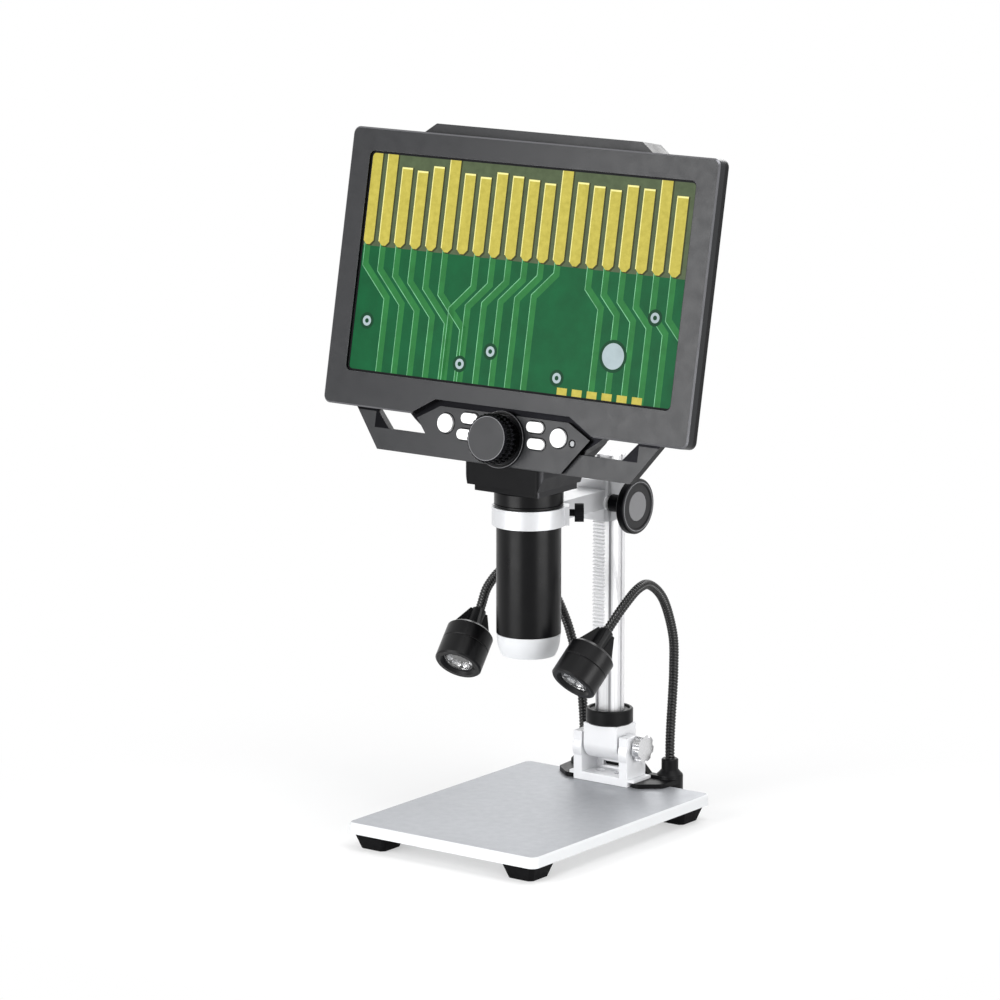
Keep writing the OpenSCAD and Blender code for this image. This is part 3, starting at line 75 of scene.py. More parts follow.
# Right-hand lamp's frame: centre of its front rim, and how its axis leans and turns
LAMP_FRONT = Vector((35.8, -14.05, 85.9)) * MM + PLATE_CENTRE
LAMP_POLAR = math.radians(46)
LAMP_TURN = math.radians(80.2)
LAMP_LENGTH = 33.5 * MM


def matrix_from_axes(x, y, z, origin):
    """4x4 matrix that takes local x, y, z to these axes at origin."""
    m = Matrix((x, y, z)).transposed().to_4x4()
    m.translation = origin
    return m


SCREEN = matrix_from_axes(SCREEN_RIGHT, SCREEN_UP, SCREEN_OUT, SCREEN_CENTRE)
LAMP = (Matrix.Translation(LAMP_FRONT) @ Matrix.Rotation(LAMP_TURN, 4, "Z")
        @ Matrix.Rotation(LAMP_POLAR, 4, "Y"))
MIRROR = Matrix.Scale(-1, 4, Vector((1, 0, 0)))

# ------------------------------------------------------------------ materials
#
# A noise scale is waves in a metre, and a bump's distance is metres.


def rgb(r, g, b):
    """Linear colour from the 0 to 255 values that a picture shows."""
    def lin(c):
        c /= 255
        return c / 12.92 if c < 0.04045 else ((c + 0.055) / 1.055) ** 2.4
    return lin(r), lin(g), lin(b)


def add_node(tree, kind, **values):
    """New node; each value is one of its settings or, by its name, one of its inputs."""
    node = tree.nodes.new(kind)
    for key, value in values.items():
        if hasattr(node, key):
            setattr(node, key, value)
        else:
            node.inputs[key].default_value = value
    return node


def joined(tree, operation, a, b):
    """Two values made one, such as their product or the larger of the two."""
    node = add_node(tree, "ShaderNodeMath", operation=operation)
    tree.links.new(a, node.inputs[0])
    tree.links.new(b, node.inputs[1])
    return node.outputs[0]


class Shader:
    """A procedural material: one Principled shader and the textures that feed it."""

    def __init__(self, name, color, rough, metal=0.0, specular=0.5):
        self.material = bpy.data.materials.new(name)
        self.material.use_nodes = True
        self.tree = self.material.node_tree
        self.bsdf = self.tree.nodes["Principled BSDF"]
        self.bsdf.inputs["Metallic"].default_value = metal
        self.bsdf.inputs["Specular IOR Level"].default_value = specular
        self.color = color
        self.rough = rough
        self.height = None
        self.paint = None
        coordinates = self.tree.nodes.new("ShaderNodeTexCoord")
        self.place = coordinates.outputs["Object"]
        self.facing = coordinates.outputs["Normal"]
        self.bsdf.inputs["Base Color"].default_value = (*color, 1)
        self.bsdf.inputs["Roughness"].default_value = rough

    def add(self, kind, **values):
        return add_node(self.tree, kind, **values)

    def link(self, source, target):
        self.tree.links.new(source, target)

    def stretched(self, scale):
        """Object coordinates scaled along each axis."""
        node = self.add("ShaderNodeMapping")
        node.inputs["Scale"].default_value = scale
        self.link(self.place, node.inputs["Vector"])
        return node.outputs["Vector"]

    def noise(self, scale, detail=3.0, rough=0.5, place=None):
        node = self.add("ShaderNodeTexNoise", Scale=scale, Detail=detail, Roughness=rough)
        self.link(place or self.place, node.inputs["Vector"])
        return node.outputs["Fac"]

    def ranged(self, source, low, high, start=0.3, end=0.7):
        """A texture's start to end spread over low to high."""
        node = self.add("ShaderNodeMapRange")
        node.inputs["From Min"].default_value = start
        node.inputs["From Max"].default_value = end
        node.inputs["To Min"].default_value = low
        node.inputs["To Max"].default_value = high
        self.link(source, node.inputs["Value"])
        return node.outputs["Result"]

    def dot(self, source, direction):
        """How far a vector reaches along a direction."""
        node = self.add("ShaderNodeVectorMath", operation="DOT_PRODUCT")
        node.inputs[1].default_value = direction
        self.link(source, node.inputs[0])
        return node.outputs["Value"]

    def both(self, a, b, operation="MULTIPLY"):
        return joined(self.tree, operation, a, b)

    def mix(self, factor, a, b):
        """Colour a where factor is 0 and b where it is 1; each is a colour or a socket."""
        node = self.add("ShaderNodeMix", data_type="RGBA")
        for value, name in ((a, "A"), (b, "B")):
            if isinstance(value, tuple):
                node.inputs[name].default_value = (*value, 1)
            else:
                self.link(value, node.inputs[name])
        self.link(factor, node.inputs["Factor"])
        return node.outputs["Result"]

    def coat(self, paint):
        self.paint = paint
        self.link(paint, self.bsdf.inputs["Base Color"])
        return self

    def tint(self, source, low, high):
        """Base colour between low and high times the written colour."""
        pair = [tuple(min(1, c * share) for c in self.color) for share in (low, high)]
        return self.coat(self.mix(source, *pair))

    def only_where(self, mask, elsewhere):
        """Keeps the paint where mask is 1 and lays another colour elsewhere."""
        return self.coat(self.mix(mask, elsewhere, self.paint))

    def magnitude(self, source):
        """A value without its sign."""
        node = self.add("ShaderNodeMath", operation="ABSOLUTE")
        self.link(source, node.inputs[0])
        return node.outputs[0]

    def faces(self, out, start=0.75, end=0.9, back=False):
        """1 on faces that look out, and those that look back if asked, 0 on their side walls."""
        facing = self.dot(self.facing, out)
        return self.ranged(self.magnitude(facing) if back else facing, 0, 1, start, end)

    def roughen(self, source, spread):
        """Roughness that wanders by spread either side of the written value."""
        result = self.ranged(source, self.rough - spread, self.rough + spread)
        self.link(result, self.bsdf.inputs["Roughness"])
        return self

    def bump(self, source, depth, distance=0.0001):
        node = self.add("ShaderNodeBump", Strength=depth, Distance=distance)
        if self.height:
            self.link(self.height, node.inputs["Normal"])
        self.link(source, node.inputs["Height"])
        self.height = node.outputs["Normal"]
        self.link(self.height, self.bsdf.inputs["Normal"])
        return self


def moulded(name, color, rough=0.45, grain=5200, depth=0.25, specular=0.4, drift=0.05):
    """Moulded plastic: spark-eroded grain, faint flow marks, small wander in gloss."""
    s = Shader(name, color, rough, specular=specular)
    s.tint(s.noise(38, 5), 1 - drift, 1 + drift)
    s.roughen(s.noise(150, 4), 0.06)
    s.bump(s.noise(grain, 2), depth, 0.00006)
    s.bump(s.noise(60, 2), 0.05, 0.0004)
    return s


def paint_wall_light_shade(shader, mask, wall):
    """Painted light and shade on side walls: the wall tone where mask is 0, laid on as a metal of that
    tone, which takes the white sheen off.
    """
    shader.only_where(mask, wall)
    shader.link(shader.ranged(mask, 1, 0, 0, 1), shader.bsdf.inputs["Metallic"])


def walls_lit_and_shaded(name, front, wall, out, edge=None, back=False, **settings):
    """Moulded part with a satin front and side walls in another tone, painted darker where shade falls on
    them and lighter where light falls, and perhaps a painted highlight along its round edges.
    """
    s = moulded(name, front, **settings)
    paint_wall_light_shade(s, s.faces(out, back=back), wall)
    # A painted highlight along the round edges between the front and the side walls
    if edge:
        facing = s.dot(s.facing, out)
        rim = s.both(s.ranged(facing, 0, 1, 0.35, 0.6), s.ranged(facing, 1, 0, 0.9, 0.97))
        s.coat(s.mix(rim, s.paint, edge))
    return s


# Painted shade, in the screen's frame: the recess round the control panel is painted dark this far to
# either side and down, and lies this deep; the line of painted shadow under the bezel ends at the level
# given last
RECESS_HALF = 81 * MM
RECESS_LOW = -80.2 * MM
RECESS_DEPTH = 4 * MM
SHADOW_LINE_LOW = -72.1 * MM
# Width over which one painted tone runs into the next
PAINT_BLUR = 0.1 * MM


def panel_plastic(name, front, wall):
    """Control housing: charcoal panel and wings, with painted shade on its side walls, in the recess round
    the panel and in a line of shadow under the bezel.
    """
    s = moulded(name, front, rough=0.34, specular=0.28, drift=0.08)
    # Painted shade: black where the body lies back in the recess round the panel, and on every side wall
    face = SCREEN_CENTRE.dot(SCREEN_OUT) - RECESS_DEPTH
    foot = SCREEN_CENTRE.dot(SCREEN_UP) + RECESS_LOW
    across = s.magnitude(s.dot(s.place, SCREEN_RIGHT))
    raised = s.ranged(s.dot(s.place, SCREEN_OUT), 0, 1, face, face + PAINT_BLUR)
    below = s.ranged(s.dot(s.place, SCREEN_UP), 1, 0, foot, foot + PAINT_BLUR)
    outside = s.ranged(across, 0, 1, RECESS_HALF, RECESS_HALF + PAINT_BLUR)
    # Painted shadow in a thin line under the bezel's lower edge
    shadow_line = SCREEN_CENTRE.dot(SCREEN_UP) + SHADOW_LINE_LOW
    unshaded = s.ranged(s.dot(s.place, SCREEN_UP), 1, 0, shadow_line, shadow_line + PAINT_BLUR)
    wing = s.both(s.both(below, outside, "MAXIMUM"), unshaded)
    face_on = s.both(s.both(raised, wing, "MAXIMUM"), s.faces(SCREEN_OUT))
    paint_wall_light_shade(s, face_on, wall)
    return s


def blasted(name, color, rough=0.36, metal=0.85, grain=7000, depth=0.3):
    """Bead-blasted and anodised aluminium."""
    s = Shader(name, color, rough, metal=metal)
    s.tint(s.noise(70, 6, 0.6), 0.95, 1.04)
    s.roughen(s.noise(240, 4), 0.05)
    s.bump(s.noise(grain, 3), depth, 0.00005)
    return s


def plate_metal(name, top, edge):
    """Anodised plate: grey satin top with fine grain, and lighter side faces."""
    s = blasted(name, top, rough=0.48, metal=0.5)
    s.tint(s.noise(900, 6, 0.7), 0.93, 1.06)
    s.only_where(s.faces((0, 0, 1), 0.8, 0.98), edge)
    return s


def drawn(name, color, rough=0.25, metal=1.0, stretch=(3000, 3000, 25), depth=0.25, low=0.9):
    """Metal with fine lines along one axis, as drawn or ground bars have."""
    s = Shader(name, color, rough, metal=metal)
    lines = s.noise(1.0, 4, 0.6, s.stretched(stretch))
    s.tint(lines, low, 1.06)
    s.roughen(lines, 0.07)
    s.bump(lines, depth, 0.00004)
    return s


# Width and painted shade of the groove on either side of the rack
GROOVE_W = 1.1 * MM
GROOVE_SHADE = (0.22, 0.22, 0.23)


def grooved(name, color):
    """Column extrusion: drawn metal, with painted shade in the groove on either side of its rack."""
    s = drawn(name, color, rough=0.3, metal=0.2, stretch=(2200, 2200, 3), depth=0.08, low=0.95)
    rack_half = max(v.co.x for v in NODES["rack"].data.vertices)
    across = s.magnitude(s.dot(s.place, (1, 0, 0)))
    inner = s.ranged(across, 0, 1, rack_half, rack_half + PAINT_BLUR)
    outer = s.ranged(across, 1, 0, rack_half + GROOVE_W, rack_half + GROOVE_W + PAINT_BLUR)
    s.coat(s.mix(s.both(inner, outer), s.paint, GROOVE_SHADE))
    return s


def lacquer(name, color, rough=0.28, specular=0.2, streak=None):
    """Black paint on turned metal: faint orange peel and a few soft marks."""
    s = Shader(name, color, rough, specular=specular)
    s.tint(s.noise(45, 4, place=streak and s.stretched(streak)), 0.9, 1.12)
    s.roughen(s.noise(95, 5), 0.05)
    s.bump(s.noise(1600, 2), 0.08, 0.00008)
    return s


def rubber(name, color):
    """Matt black rubber with a coarse grain."""
    s = Shader(name, color, 0.72, specular=0.08)
    s.tint(s.noise(120, 5), 0.8, 1.25)
    s.roughen(s.noise(400, 3), 0.08)
    s.bump(s.noise(2600, 4), 0.4, 0.0001)
    return s


def frosted(name, color, depth=3 * MM, glow=0.1):
    """Milky plastic that scatters light to some depth, with a faint white glow for the light of its own
    ring of lamps, which also lifts the shade on its far side.
    """
    s = Shader(name, color, 0.42, specular=0.4)
    s.tint(s.noise(60, 3), 0.97, 1.02)
    s.roughen(s.noise(180, 3), 0.06)
    s.bump(s.noise(3800, 2), 0.12, 0.00005)
    s.bsdf.inputs["Subsurface Weight"].default_value = 0.5
    s.bsdf.inputs["Subsurface Radius"].default_value = (depth, depth, depth)
    # Painted glow, which lifts the shaded side of the hood
    s.bsdf.inputs["Emission Color"].default_value = (1, 1, 1, 1)
    s.bsdf.inputs["Emission Strength"].default_value = glow
    return s


def clear(name, rough=0.03):
    """Clear glass or acrylic with a trace of haze."""
    s = Shader(name, (1, 1, 1), rough)
    s.roughen(s.noise(300, 3), 0.012)
    s.bsdf.inputs["Transmission Weight"].default_value = 1.0
    s.bsdf.inputs["IOR"].default_value = 1.46
    return s


def board(name):
    """Green solder mask over faint copper tracks."""
    s = Shader(name, (0.015, 0.13, 0.045), 0.3)
    cells = s.add("ShaderNodeTexBrick", Scale=220)
    s.link(s.place, cells.inputs["Vector"])
    s.tint(cells.outputs["Fac"], 0.8, 1.5)
    s.bump(cells.outputs["Fac"], 0.3, 0.0001)
    s.roughen(s.noise(200, 3), 0.05)
    return s


# Linear tones of the plastics and paints, from the palest
# Painted highlight along the bezel's round edges
EDGE_HIGHLIGHT = (0.16, 0.16, 0.17)
# Painted light and shade on the bezel's side walls
WALL_LIGHT_AND_SHADE = (0.035, 0.036, 0.038)
CHARCOAL = (0.021, 0.0215, 0.0235)
# Painted shade on the rear cover's side walls
COVER_WALL_SHADE = (0.014, 0.014, 0.015)
KNOB_GREY = (0.012, 0.012, 0.013)
DARK = (0.006, 0.006, 0.007)
BLACK = (0.004, 0.004, 0.0045)
LACQUER = (0.002, 0.002, 0.0024)

SHADERS = {
    # Control housing: painted shade on its walls, round the panel and under the bezel
    "panel": panel_plastic("panel plastic", CHARCOAL, DARK),
    # Rear cover: side walls in painted shade
    "cover": walls_lit_and_shaded("cover plastic", CHARCOAL, COVER_WALL_SHADE, SCREEN_OUT, back=True,
                      rough=0.36, specular=0.28, drift=0.08),
    "glow": moulded("status lens", (0.30, 0.31, 0.32), rough=0.3),
    # Bezel: painted light and shade on its side walls, and a painted highlight along its round edges
    "bezel": walls_lit_and_shaded("bezel plastic", CHARCOAL, WALL_LIGHT_AND_SHADE, SCREEN_OUT, EDGE_HIGHLIGHT,
                      rough=0.34, specular=0.28, drift=0.08),
    # Head housing and display: side walls in painted light, lighter than the black front
    "housing": walls_lit_and_shaded("housing black plastic", BLACK, (0.034, 0.034, 0.036),
                        (0, -1, 0), rough=0.42, specular=0.06),
    "black": moulded("black plastic", BLACK, rough=0.38, specular=0.12),
    "dark": moulded("deep black plastic", DARK, rough=0.5, specular=0.08),
    # Knob and wheel: sides in painted shade, darker than their faces
    "knob": walls_lit_and_shaded("knob black plastic", KNOB_GREY, DARK, (1, 0, 0), rough=0.42, specular=0.25),
    "wheel": walls_lit_and_shaded("wheel black plastic", KNOB_GREY, DARK, SCREEN_OUT, rough=0.3, specular=0.22),
    "cap": moulded("cap plastic", CHARCOAL, rough=0.48, specular=0.3),
    # Painted highlight: pale thin rings along the edges of the wheel's cap, its trim and the knob
    "line": moulded("highlight line", (0.20, 0.20, 0.21), rough=0.35),
    "knob_face": moulded("knob grey disc", (0.17, 0.17, 0.175), rough=0.5, specular=0.3),
    "white": moulded("white plastic", (0.86, 0.86, 0.86), rough=0.35, drift=0.02, depth=0.1),
    "plate": plate_metal("satin plate", (0.33, 0.34, 0.36), (0.68, 0.69, 0.70)),
    "bright": blasted("bright aluminium", (0.78, 0.785, 0.80), rough=0.42, metal=0.15),
    "ring": blasted("ring aluminium", (0.53, 0.535, 0.55), rough=0.4, metal=0.3),
    "column": grooved("drawn column", (0.70, 0.70, 0.71)),
    "rack": drawn("rack steel", (0.86, 0.86, 0.87), rough=0.4, metal=0.1,
                  stretch=(2500, 60, 2500), depth=0.12, low=0.94),
    "steel": drawn("turned steel", (0.72, 0.72, 0.73), rough=0.24, stretch=(40, 2500, 2500)),
    "chrome": drawn("reflector chrome", (0.85, 0.85, 0.86), rough=0.12, stretch=(300, 300, 300),
                    depth=0.05),
    "barrel": lacquer("barrel lacquer", LACQUER, rough=0.32, specular=0.13, streak=(90, 90, 4)),
    "lamp": lacquer("lamp lacquer", LACQUER, rough=0.34, specular=0.21),
    "hose": lacquer("hose lacquer", (0.002, 0.002, 0.002), rough=0.12, specular=0.42),
    "rubber": rubber("foot rubber", (0.0035, 0.0035, 0.004)),
    "frosted": frosted("frosted hood", (0.54, 0.55, 0.565)),
    "glass": clear("clear glass"),
    "cover_glass": clear("screen glass", rough=0.04),
    "board": board("circuit board"),
    "battery": moulded("battery wrap", (0.02, 0.05, 0.22), rough=0.35),
    "led": moulded("lamp chip", (0.03, 0.03, 0.026), rough=0.4),
}

DRESS = {
    "base_plate": "plate", "rubber_feet": "rubber", "foot_screws": "steel",
    "hinge_bracket": "bright", "bracket_screws": "steel", "lamp_clip_left": "black",
    "lamp_clip_right": "black", "tilt_block": "bright", "column_collar": "black",
    "column": "column", "rack": "rack", "tilt_bolt": "steel", "tilt_knob": "steel",
    "tilt_nut": "steel", "carriage": "ring", "slide_pad": "white", "pad_screws": "steel",
    "clamp_screw": "dark", "pinion_shaft": "rack", "focus_knob": "knob",
    "knob_disc": "knob_face", "barrel": "barrel", "barrel_neck": "barrel",
    "lens_hood": "frosted", "light_ring": "white", "lens_tube": "barrel",
    "objective_lens": "glass", "head_housing": "housing", "sensor_board": "board",
    "control_housing": "panel", "button_board": "dark", "status_light": "glow",
    "wheel_trim": "black", "focus_wheel": "wheel", "wheel_cap": "cap",
    "bezel": "bezel", "screen_glass": "cover_glass", "display_panel": "housing",
    "rear_cover": "cover", "main_board": "board", "battery_pack": "battery",
    "cover_screws": "steel", "spine_screws": "steel", "side_ports": "steel",
    "gooseneck_left": "hose", "gooseneck_right": "hose", "lamp_head_left": "lamp",
    "lamp_head_right": "lamp", "lamp_lens_left": "glass", "lamp_lens_right": "glass",
    "lamp_chip_left": "led", "lamp_chip_right": "led",
}
BUTTONS = [f"{kind}_button_{side}" for side in ("left", "right") for kind in ("round", "upper", "lower")]
DRESS.update(dict.fromkeys(BUTTONS, "white"))

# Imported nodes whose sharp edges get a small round, and its width
ROUND_MM = {
    "bezel": 0.5, "rear_cover": 0.5, "control_housing": 0.3, "head_housing": 0.6,
    "hinge_bracket": 0.35, "tilt_block": 0.4, "carriage": 0.35, "focus_knob": 0.25,
    "tilt_knob": 0.4, "rubber_feet": 0.35, "lamp_clip_left": 0.4, "lamp_clip_right": 0.4,
    "wheel_trim": 0.25, "wheel_cap": 0.2, "base_plate": 0.25,
}
ROUND_MM.update(dict.fromkeys(BUTTONS, 0.3))
WELD = 0.005 * MM
SHARP = math.radians(34)


def dress(node, material):
    """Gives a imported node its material."""
    slots = NODES[node].data.materials
    slots.clear()
    slots.append(SHADERS[material].material)


def round_edges(node, width):
    """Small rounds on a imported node's sharp edges, which catch the light."""
    thing = NODES[node]
    thing.modifiers.new("weld", "WELD").merge_threshold = WELD
    bevel = thing.modifiers.new("rounds", "BEVEL")
    bevel.width = width
    bevel.segments = 2
    bevel.limit_method = "ANGLE"
    bevel.angle_limit = SHARP
    thing.modifiers.new("normals", "WEIGHTED_NORMAL").keep_sharp = True


for node, material in DRESS.items():
    dress(node, material)
for node, width in ROUND_MM.items():
    round_edges(node, width * MM)

# --------------------------------------------------------------------- pieces


def local_box(node, frame_matrix):
    """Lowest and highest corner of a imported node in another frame's axes."""
    inverse = frame_matrix.inverted()
    points = [inverse @ v.co for v in NODES[node].data.vertices]
    low = Vector([min(p[i] for p in points) for i in range(3)])
    high = Vector([max(p[i] for p in points) for i in range(3)])
    return low, high


def make_piece(name, bm, material, body, place=None, smooth=True, replaces=()):
    """Links a finished mesh as a piece that rides on a body."""
    mesh = bpy.data.meshes.new(name)
    bmesh.ops.recalc_face_normals(bm, faces=bm.faces)
    for face in bm.faces:
        face.smooth = smooth
    bm.to_mesh(mesh)
    bm.free()
    piece = bpy.data.objects.new(name, mesh)
    bpy.context.scene.collection.objects.link(piece)
    if place is not None:
        piece.matrix_world = place
    mesh.materials.append(SHADERS[material].material)
    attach(piece, body)
    if replaces:
        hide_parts(*replaces)
    return piece


def oval_path(length, width, sides=64):
    """Points and outward normals round an oval with half-round ends, or a circle."""
    path = []
    for k in range(sides):
        a = 2 * math.pi * (k + 0.5) / sides
        normal = Vector((math.cos(a), math.sin(a)))
        end = Vector((math.copysign((length - width) / 2, normal.x), 0))
        path.append((end + normal * width / 2, normal))
    return path


def rectangle_path(width, height, radius, steps=6):
    """Points and outward normals round a rectangle with round corners."""
    path = []
    for i, (sx, sy) in enumerate(((1, 1), (-1, 1), (-1, -1), (1, -1))):
        middle = Vector((sx * (width / 2 - radius), sy * (height / 2 - radius)))
        for k in range(steps + 1):
            a = math.pi / 2 * (i + k / steps)
            normal = Vector((math.cos(a), math.sin(a)))
            path.append((middle + normal * radius, normal))
    return path


def swept_ring(bm, path, profile, middle=(0, 0)):
    """Closed ring: a profile of (outwards, up) points carried round a closed path."""
    rings = []
    for point, normal in path:
        rings.append([bm.verts.new((middle[0] + point.x + normal.x * out,
                                    middle[1] + point.y + normal.y * out, up)) for out, up in profile])
    count = len(profile)
    for a, b in zip(rings, rings[1:] + rings[:1]):
        for k in range(count):
            bm.faces.new((a[k], a[(k + 1) % count], b[(k + 1) % count], b[k]))


def bead(width, height, base=0.0, steps=5):
    """Half-round profile that stands on base, with a closed underside."""
    arc = [(width / 2 * math.cos(math.pi * k / steps), base + height * math.sin(math.pi * k / steps))
           for k in range(steps + 1)]
    return arc + [(-width / 2, base - height), (width / 2, base - height)]


def axis_frame(node, out, up):
    """Frame on a round node's own axis, with z along out from its far end."""
    right = Vector(up).cross(Vector(out))
    turned = matrix_from_axes(right, Vector(up), Vector(out), Vector((0, 0, 0)))
    low, high = local_box(node, turned)
    middle = Vector(((low.x + high.x) / 2, (low.y + high.y) / 2, high.z))
    return turned @ Matrix.Translation(middle), (high.x - low.x) / 2


# ------------------------------------------------------------------- hoses

HOSE_RADIUS = 2.55 * MM
HOSE_RIB = 0.6 * MM
# The bead that is wound round a hose climbs this far in a turn, in this many rings of vertices
HOSE_PITCH = 1.7 * MM
HOSE_ROWS = 10
# How far a hose reaches into the lamp head's tail, and runs straight before it
HOSE_SEAT = 3 * MM
# Route of the right-hand hose from the plate's centre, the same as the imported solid's
HOSE_ROUTE_MM = [
    (27.35, 85.15, 19.5), (27.35, 85.15, 26), (27.35, 85.15, 34), (27.9, 85, 45), (29.1, 84.5, 59),
    (31.2, 82.4, 75), (34, 77.4, 94), (36.5, 65, 115), (39, 49, 126), (42, 34, 127), (42.2, 20.5, 120)]


def smooth_point(p0, p1, p2, p3, t):
    """Point between p1 and p2 on the smooth curve through four route points."""
    return 0.5 * (2 * p1 + (p2 - p0) * t + (2 * p0 - 5 * p1 + 4 * p2 - p3) * t * t
                  + (3 * p1 - p0 - 3 * p2 + p3) * t ** 3)


def even_path(route, step, cuts=60):
    """The smooth curve through the route's points, cut into equal steps."""
    dense = []
    for i in range(len(route) - 1):
        four = [route[max(i - 1, 0)], route[i], route[i + 1], route[min(i + 2, len(route) - 1)]]
        dense += [smooth_point(*four, k / cuts) for k in range(cuts)]
    dense.append(route[-1])
    path, carried = [dense[0]], 0.0
    for a, b in zip(dense, dense[1:]):
        length = (b - a).length
        while length > 0 and carried + length >= step:
            a = a + (b - a) * ((step - carried) / length)
            length = (b - a).length
            carried = 0.0
            path.append(a)
        carried += length
    return path


def ribbed_hose(path, sides=20):
    """Gooseneck: a tube with a round bead wound round it, HOSE_ROWS rings to a turn."""
    bm = bmesh.new()
    side = Vector((1, 0, 0))
    rings = []
    for i, point in enumerate(path):
        along = (path[min(i + 1, len(path) - 1)] - path[max(i - 1, 0)]).normalized()
        side = (side - along * side.dot(along)).normalized()
        up = along.cross(side)
        ring = []
        for k in range(sides):
            turn = k / sides
            wound = (i / HOSE_ROWS + turn) % 1.0
            r = HOSE_RADIUS - HOSE_RIB * (1 - abs(math.sin(math.pi * wound)) ** 0.7)
            angle = 2 * math.pi * turn
            ring.append(bm.verts.new(point + side * (r * math.cos(angle)) + up * (r * math.sin(angle))))
        rings.append(ring)
    for a, b in zip(rings, rings[1:]):
        for k in range(sides):
            bm.faces.new((a[k], a[(k + 1) % sides], b[(k + 1) % sides], b[k]))
    bm.faces.new(list(reversed(rings[0])))
    bm.faces.new(rings[-1])
    return bm


def make_hoses():
    """Both hoses; the left one is the right one's mirror image."""
    axis = LAMP.to_3x3() @ Vector((0, 0, 1))
    route = [Vector(p) * MM + PLATE_CENTRE for p in HOSE_ROUTE_MM]
    route += [LAMP_FRONT + axis * (LAMP_LENGTH + HOSE_SEAT), LAMP_FRONT + axis * (LAMP_LENGTH - HOSE_SEAT)]
    for side, sign in (("right", 1), ("left", -1)):
        points = [Vector((p.x * sign, p.y, p.z)) for p in route]
        bm = ribbed_hose(even_path(points, HOSE_PITCH / HOSE_ROWS))
        make_piece(f"hose_{side}", bm, "hose", f"lamp_{side}",
                   replaces=(f"gooseneck_{side}",))


# ------------------------------------------------------------------- lamps

# Reflector of dished petals: each runs from its inner to its outer (radius, depth behind the rim)
PETALS = 7
PETAL_TURN = math.radians(13)
PETAL_SPREAD = math.radians(25)
PETAL_INNER_MM = (4.9, 6.15)
PETAL_OUTER_MM = (7.5, 4.45)
PETAL_DISH_MM = 0.7
PETAL_THICK = 0.15 * MM
# A petal swells like a half wave that starts at this share of it and covers that much
PETAL_SWELL = (0.18, 0.72)
LENS_RIM = 7.55 * MM
LENS_RIM_W = 0.5 * MM
LENS_RIM_H = 0.3 * MM
LENS_RIM_Z = 1.8 * MM


def make_petal(bm, turn, rows=6, columns=12):
    """One dished facet of the reflector."""
    start, cover = PETAL_SWELL
    grid = []
    for i in range(rows + 1):
        t = i / rows
        half = PETAL_SPREAD * math.sin(math.pi * (start + cover * t)) ** 0.5
        line = []
        for j in range(columns + 1):
            across = 2 * j / columns - 1
            r, z = (a + (b - a) * t for a, b in zip(PETAL_INNER_MM, PETAL_OUTER_MM))
            z += PETAL_DISH_MM * (1 - across * across) * math.sin(math.pi * t)
            angle = turn + half * across
            line.append(bm.verts.new(Vector((r * math.cos(angle), r * math.sin(angle), z)) * MM))
        grid.append(line)
    for a, b in zip(grid, grid[1:]):
        for k in range(columns):
            bm.faces.new((a[k], a[k + 1], b[k + 1], b[k]))


def make_lamps():
    """Reflector and lens rim of each lamp; a lamp's own z runs back from its front rim."""
    for side, place in (("right", LAMP), ("left", MIRROR @ LAMP)):
        bm = bmesh.new()
        for k in range(PETALS):
            make_petal(bm, PETAL_TURN + 2 * math.pi * k / PETALS)
        bmesh.ops.solidify(bm, geom=bm.faces[:], thickness=PETAL_THICK)
        bm.transform(place)
        make_piece(f"reflector_{side}", bm, "chrome", f"lamp_{side}")
        rim = bmesh.new()
        swept_ring(rim, oval_path(2 * LENS_RIM, 2 * LENS_RIM), bead(LENS_RIM_W, -LENS_RIM_H, LENS_RIM_Z))
        rim.transform(place)
        make_piece(f"lens_rim_{side}", rim, "cap", f"lamp_{side}")


# ------------------------------------------------------------- control panel

WHEEL, WHEEL_R = axis_frame("focus_wheel", SCREEN_OUT, SCREEN_UP)
WHEEL_LENGTH_MM = 12.3
WHEEL_RIBS = 32
RIB_SIDES = 10
RIB_DEPTH_MM = 1.0
CAP_RADIUS_MM = 10.9
CAP_INSET_MM = WHEEL_R / MM - CAP_RADIUS_MM
# Knurled wheel's section from the lip round the cap back to the foot: how far inside the rim,
# how high, and the share of the rib's depth there
WHEEL_SECTION_MM = [
    (CAP_INSET_MM, -1.0, 0), (CAP_INSET_MM, -0.1, 0), (1.45, 0, 0), (1.1, -0.12, 0.15),
    (0.5, -0.5, 0.5), (0.08, -1.0, 0.9), (0, -1.5, 1), (0, -3.6, 1), (0.08, -4.1, 0.9), (0.5, -4.6, 0.5),
    (0.95, -4.85, 0), (0.95, -5.3, 0), (0.5, -5.55, 0.5), (0.08, -6.05, 0.9), (0, -6.5, 1), (0, -8.8, 1),
    (0.1, -9.3, 0.8), (0.95, -9.75, 0), (0.95, -WHEEL_LENGTH_MM, 0)]


def make_wheel():
    """Focus wheel with two bands of rounded ribs, in its own frame, front face at z 0."""
    bm = bmesh.new()
    around = WHEEL_RIBS * RIB_SIDES
    rings = []
    for inset, z, share in WHEEL_SECTION_MM:
        ring = []
        for k in range(around):
            wave = abs(math.sin(math.pi * k / RIB_SIDES)) ** 0.8
            r = WHEEL_R - (inset + RIB_DEPTH_MM * share * (1 - wave)) * MM
            a = 2 * math.pi * k / around
            ring.append(bm.verts.new((r * math.cos(a), r * math.sin(a), z * MM)))
        rings.append(ring)
    for a, b in zip(rings, rings[1:]):
        for k in range(around):
            bm.faces.new((a[k], a[(k + 1) % around], b[(k + 1) % around], b[k]))
    bm.faces.new(rings[0])
    bm.faces.new(list(reversed(rings[-1])))
    make_piece("knurled_wheel", bm, "wheel", "focus_wheel", WHEEL, replaces=("focus_wheel",))


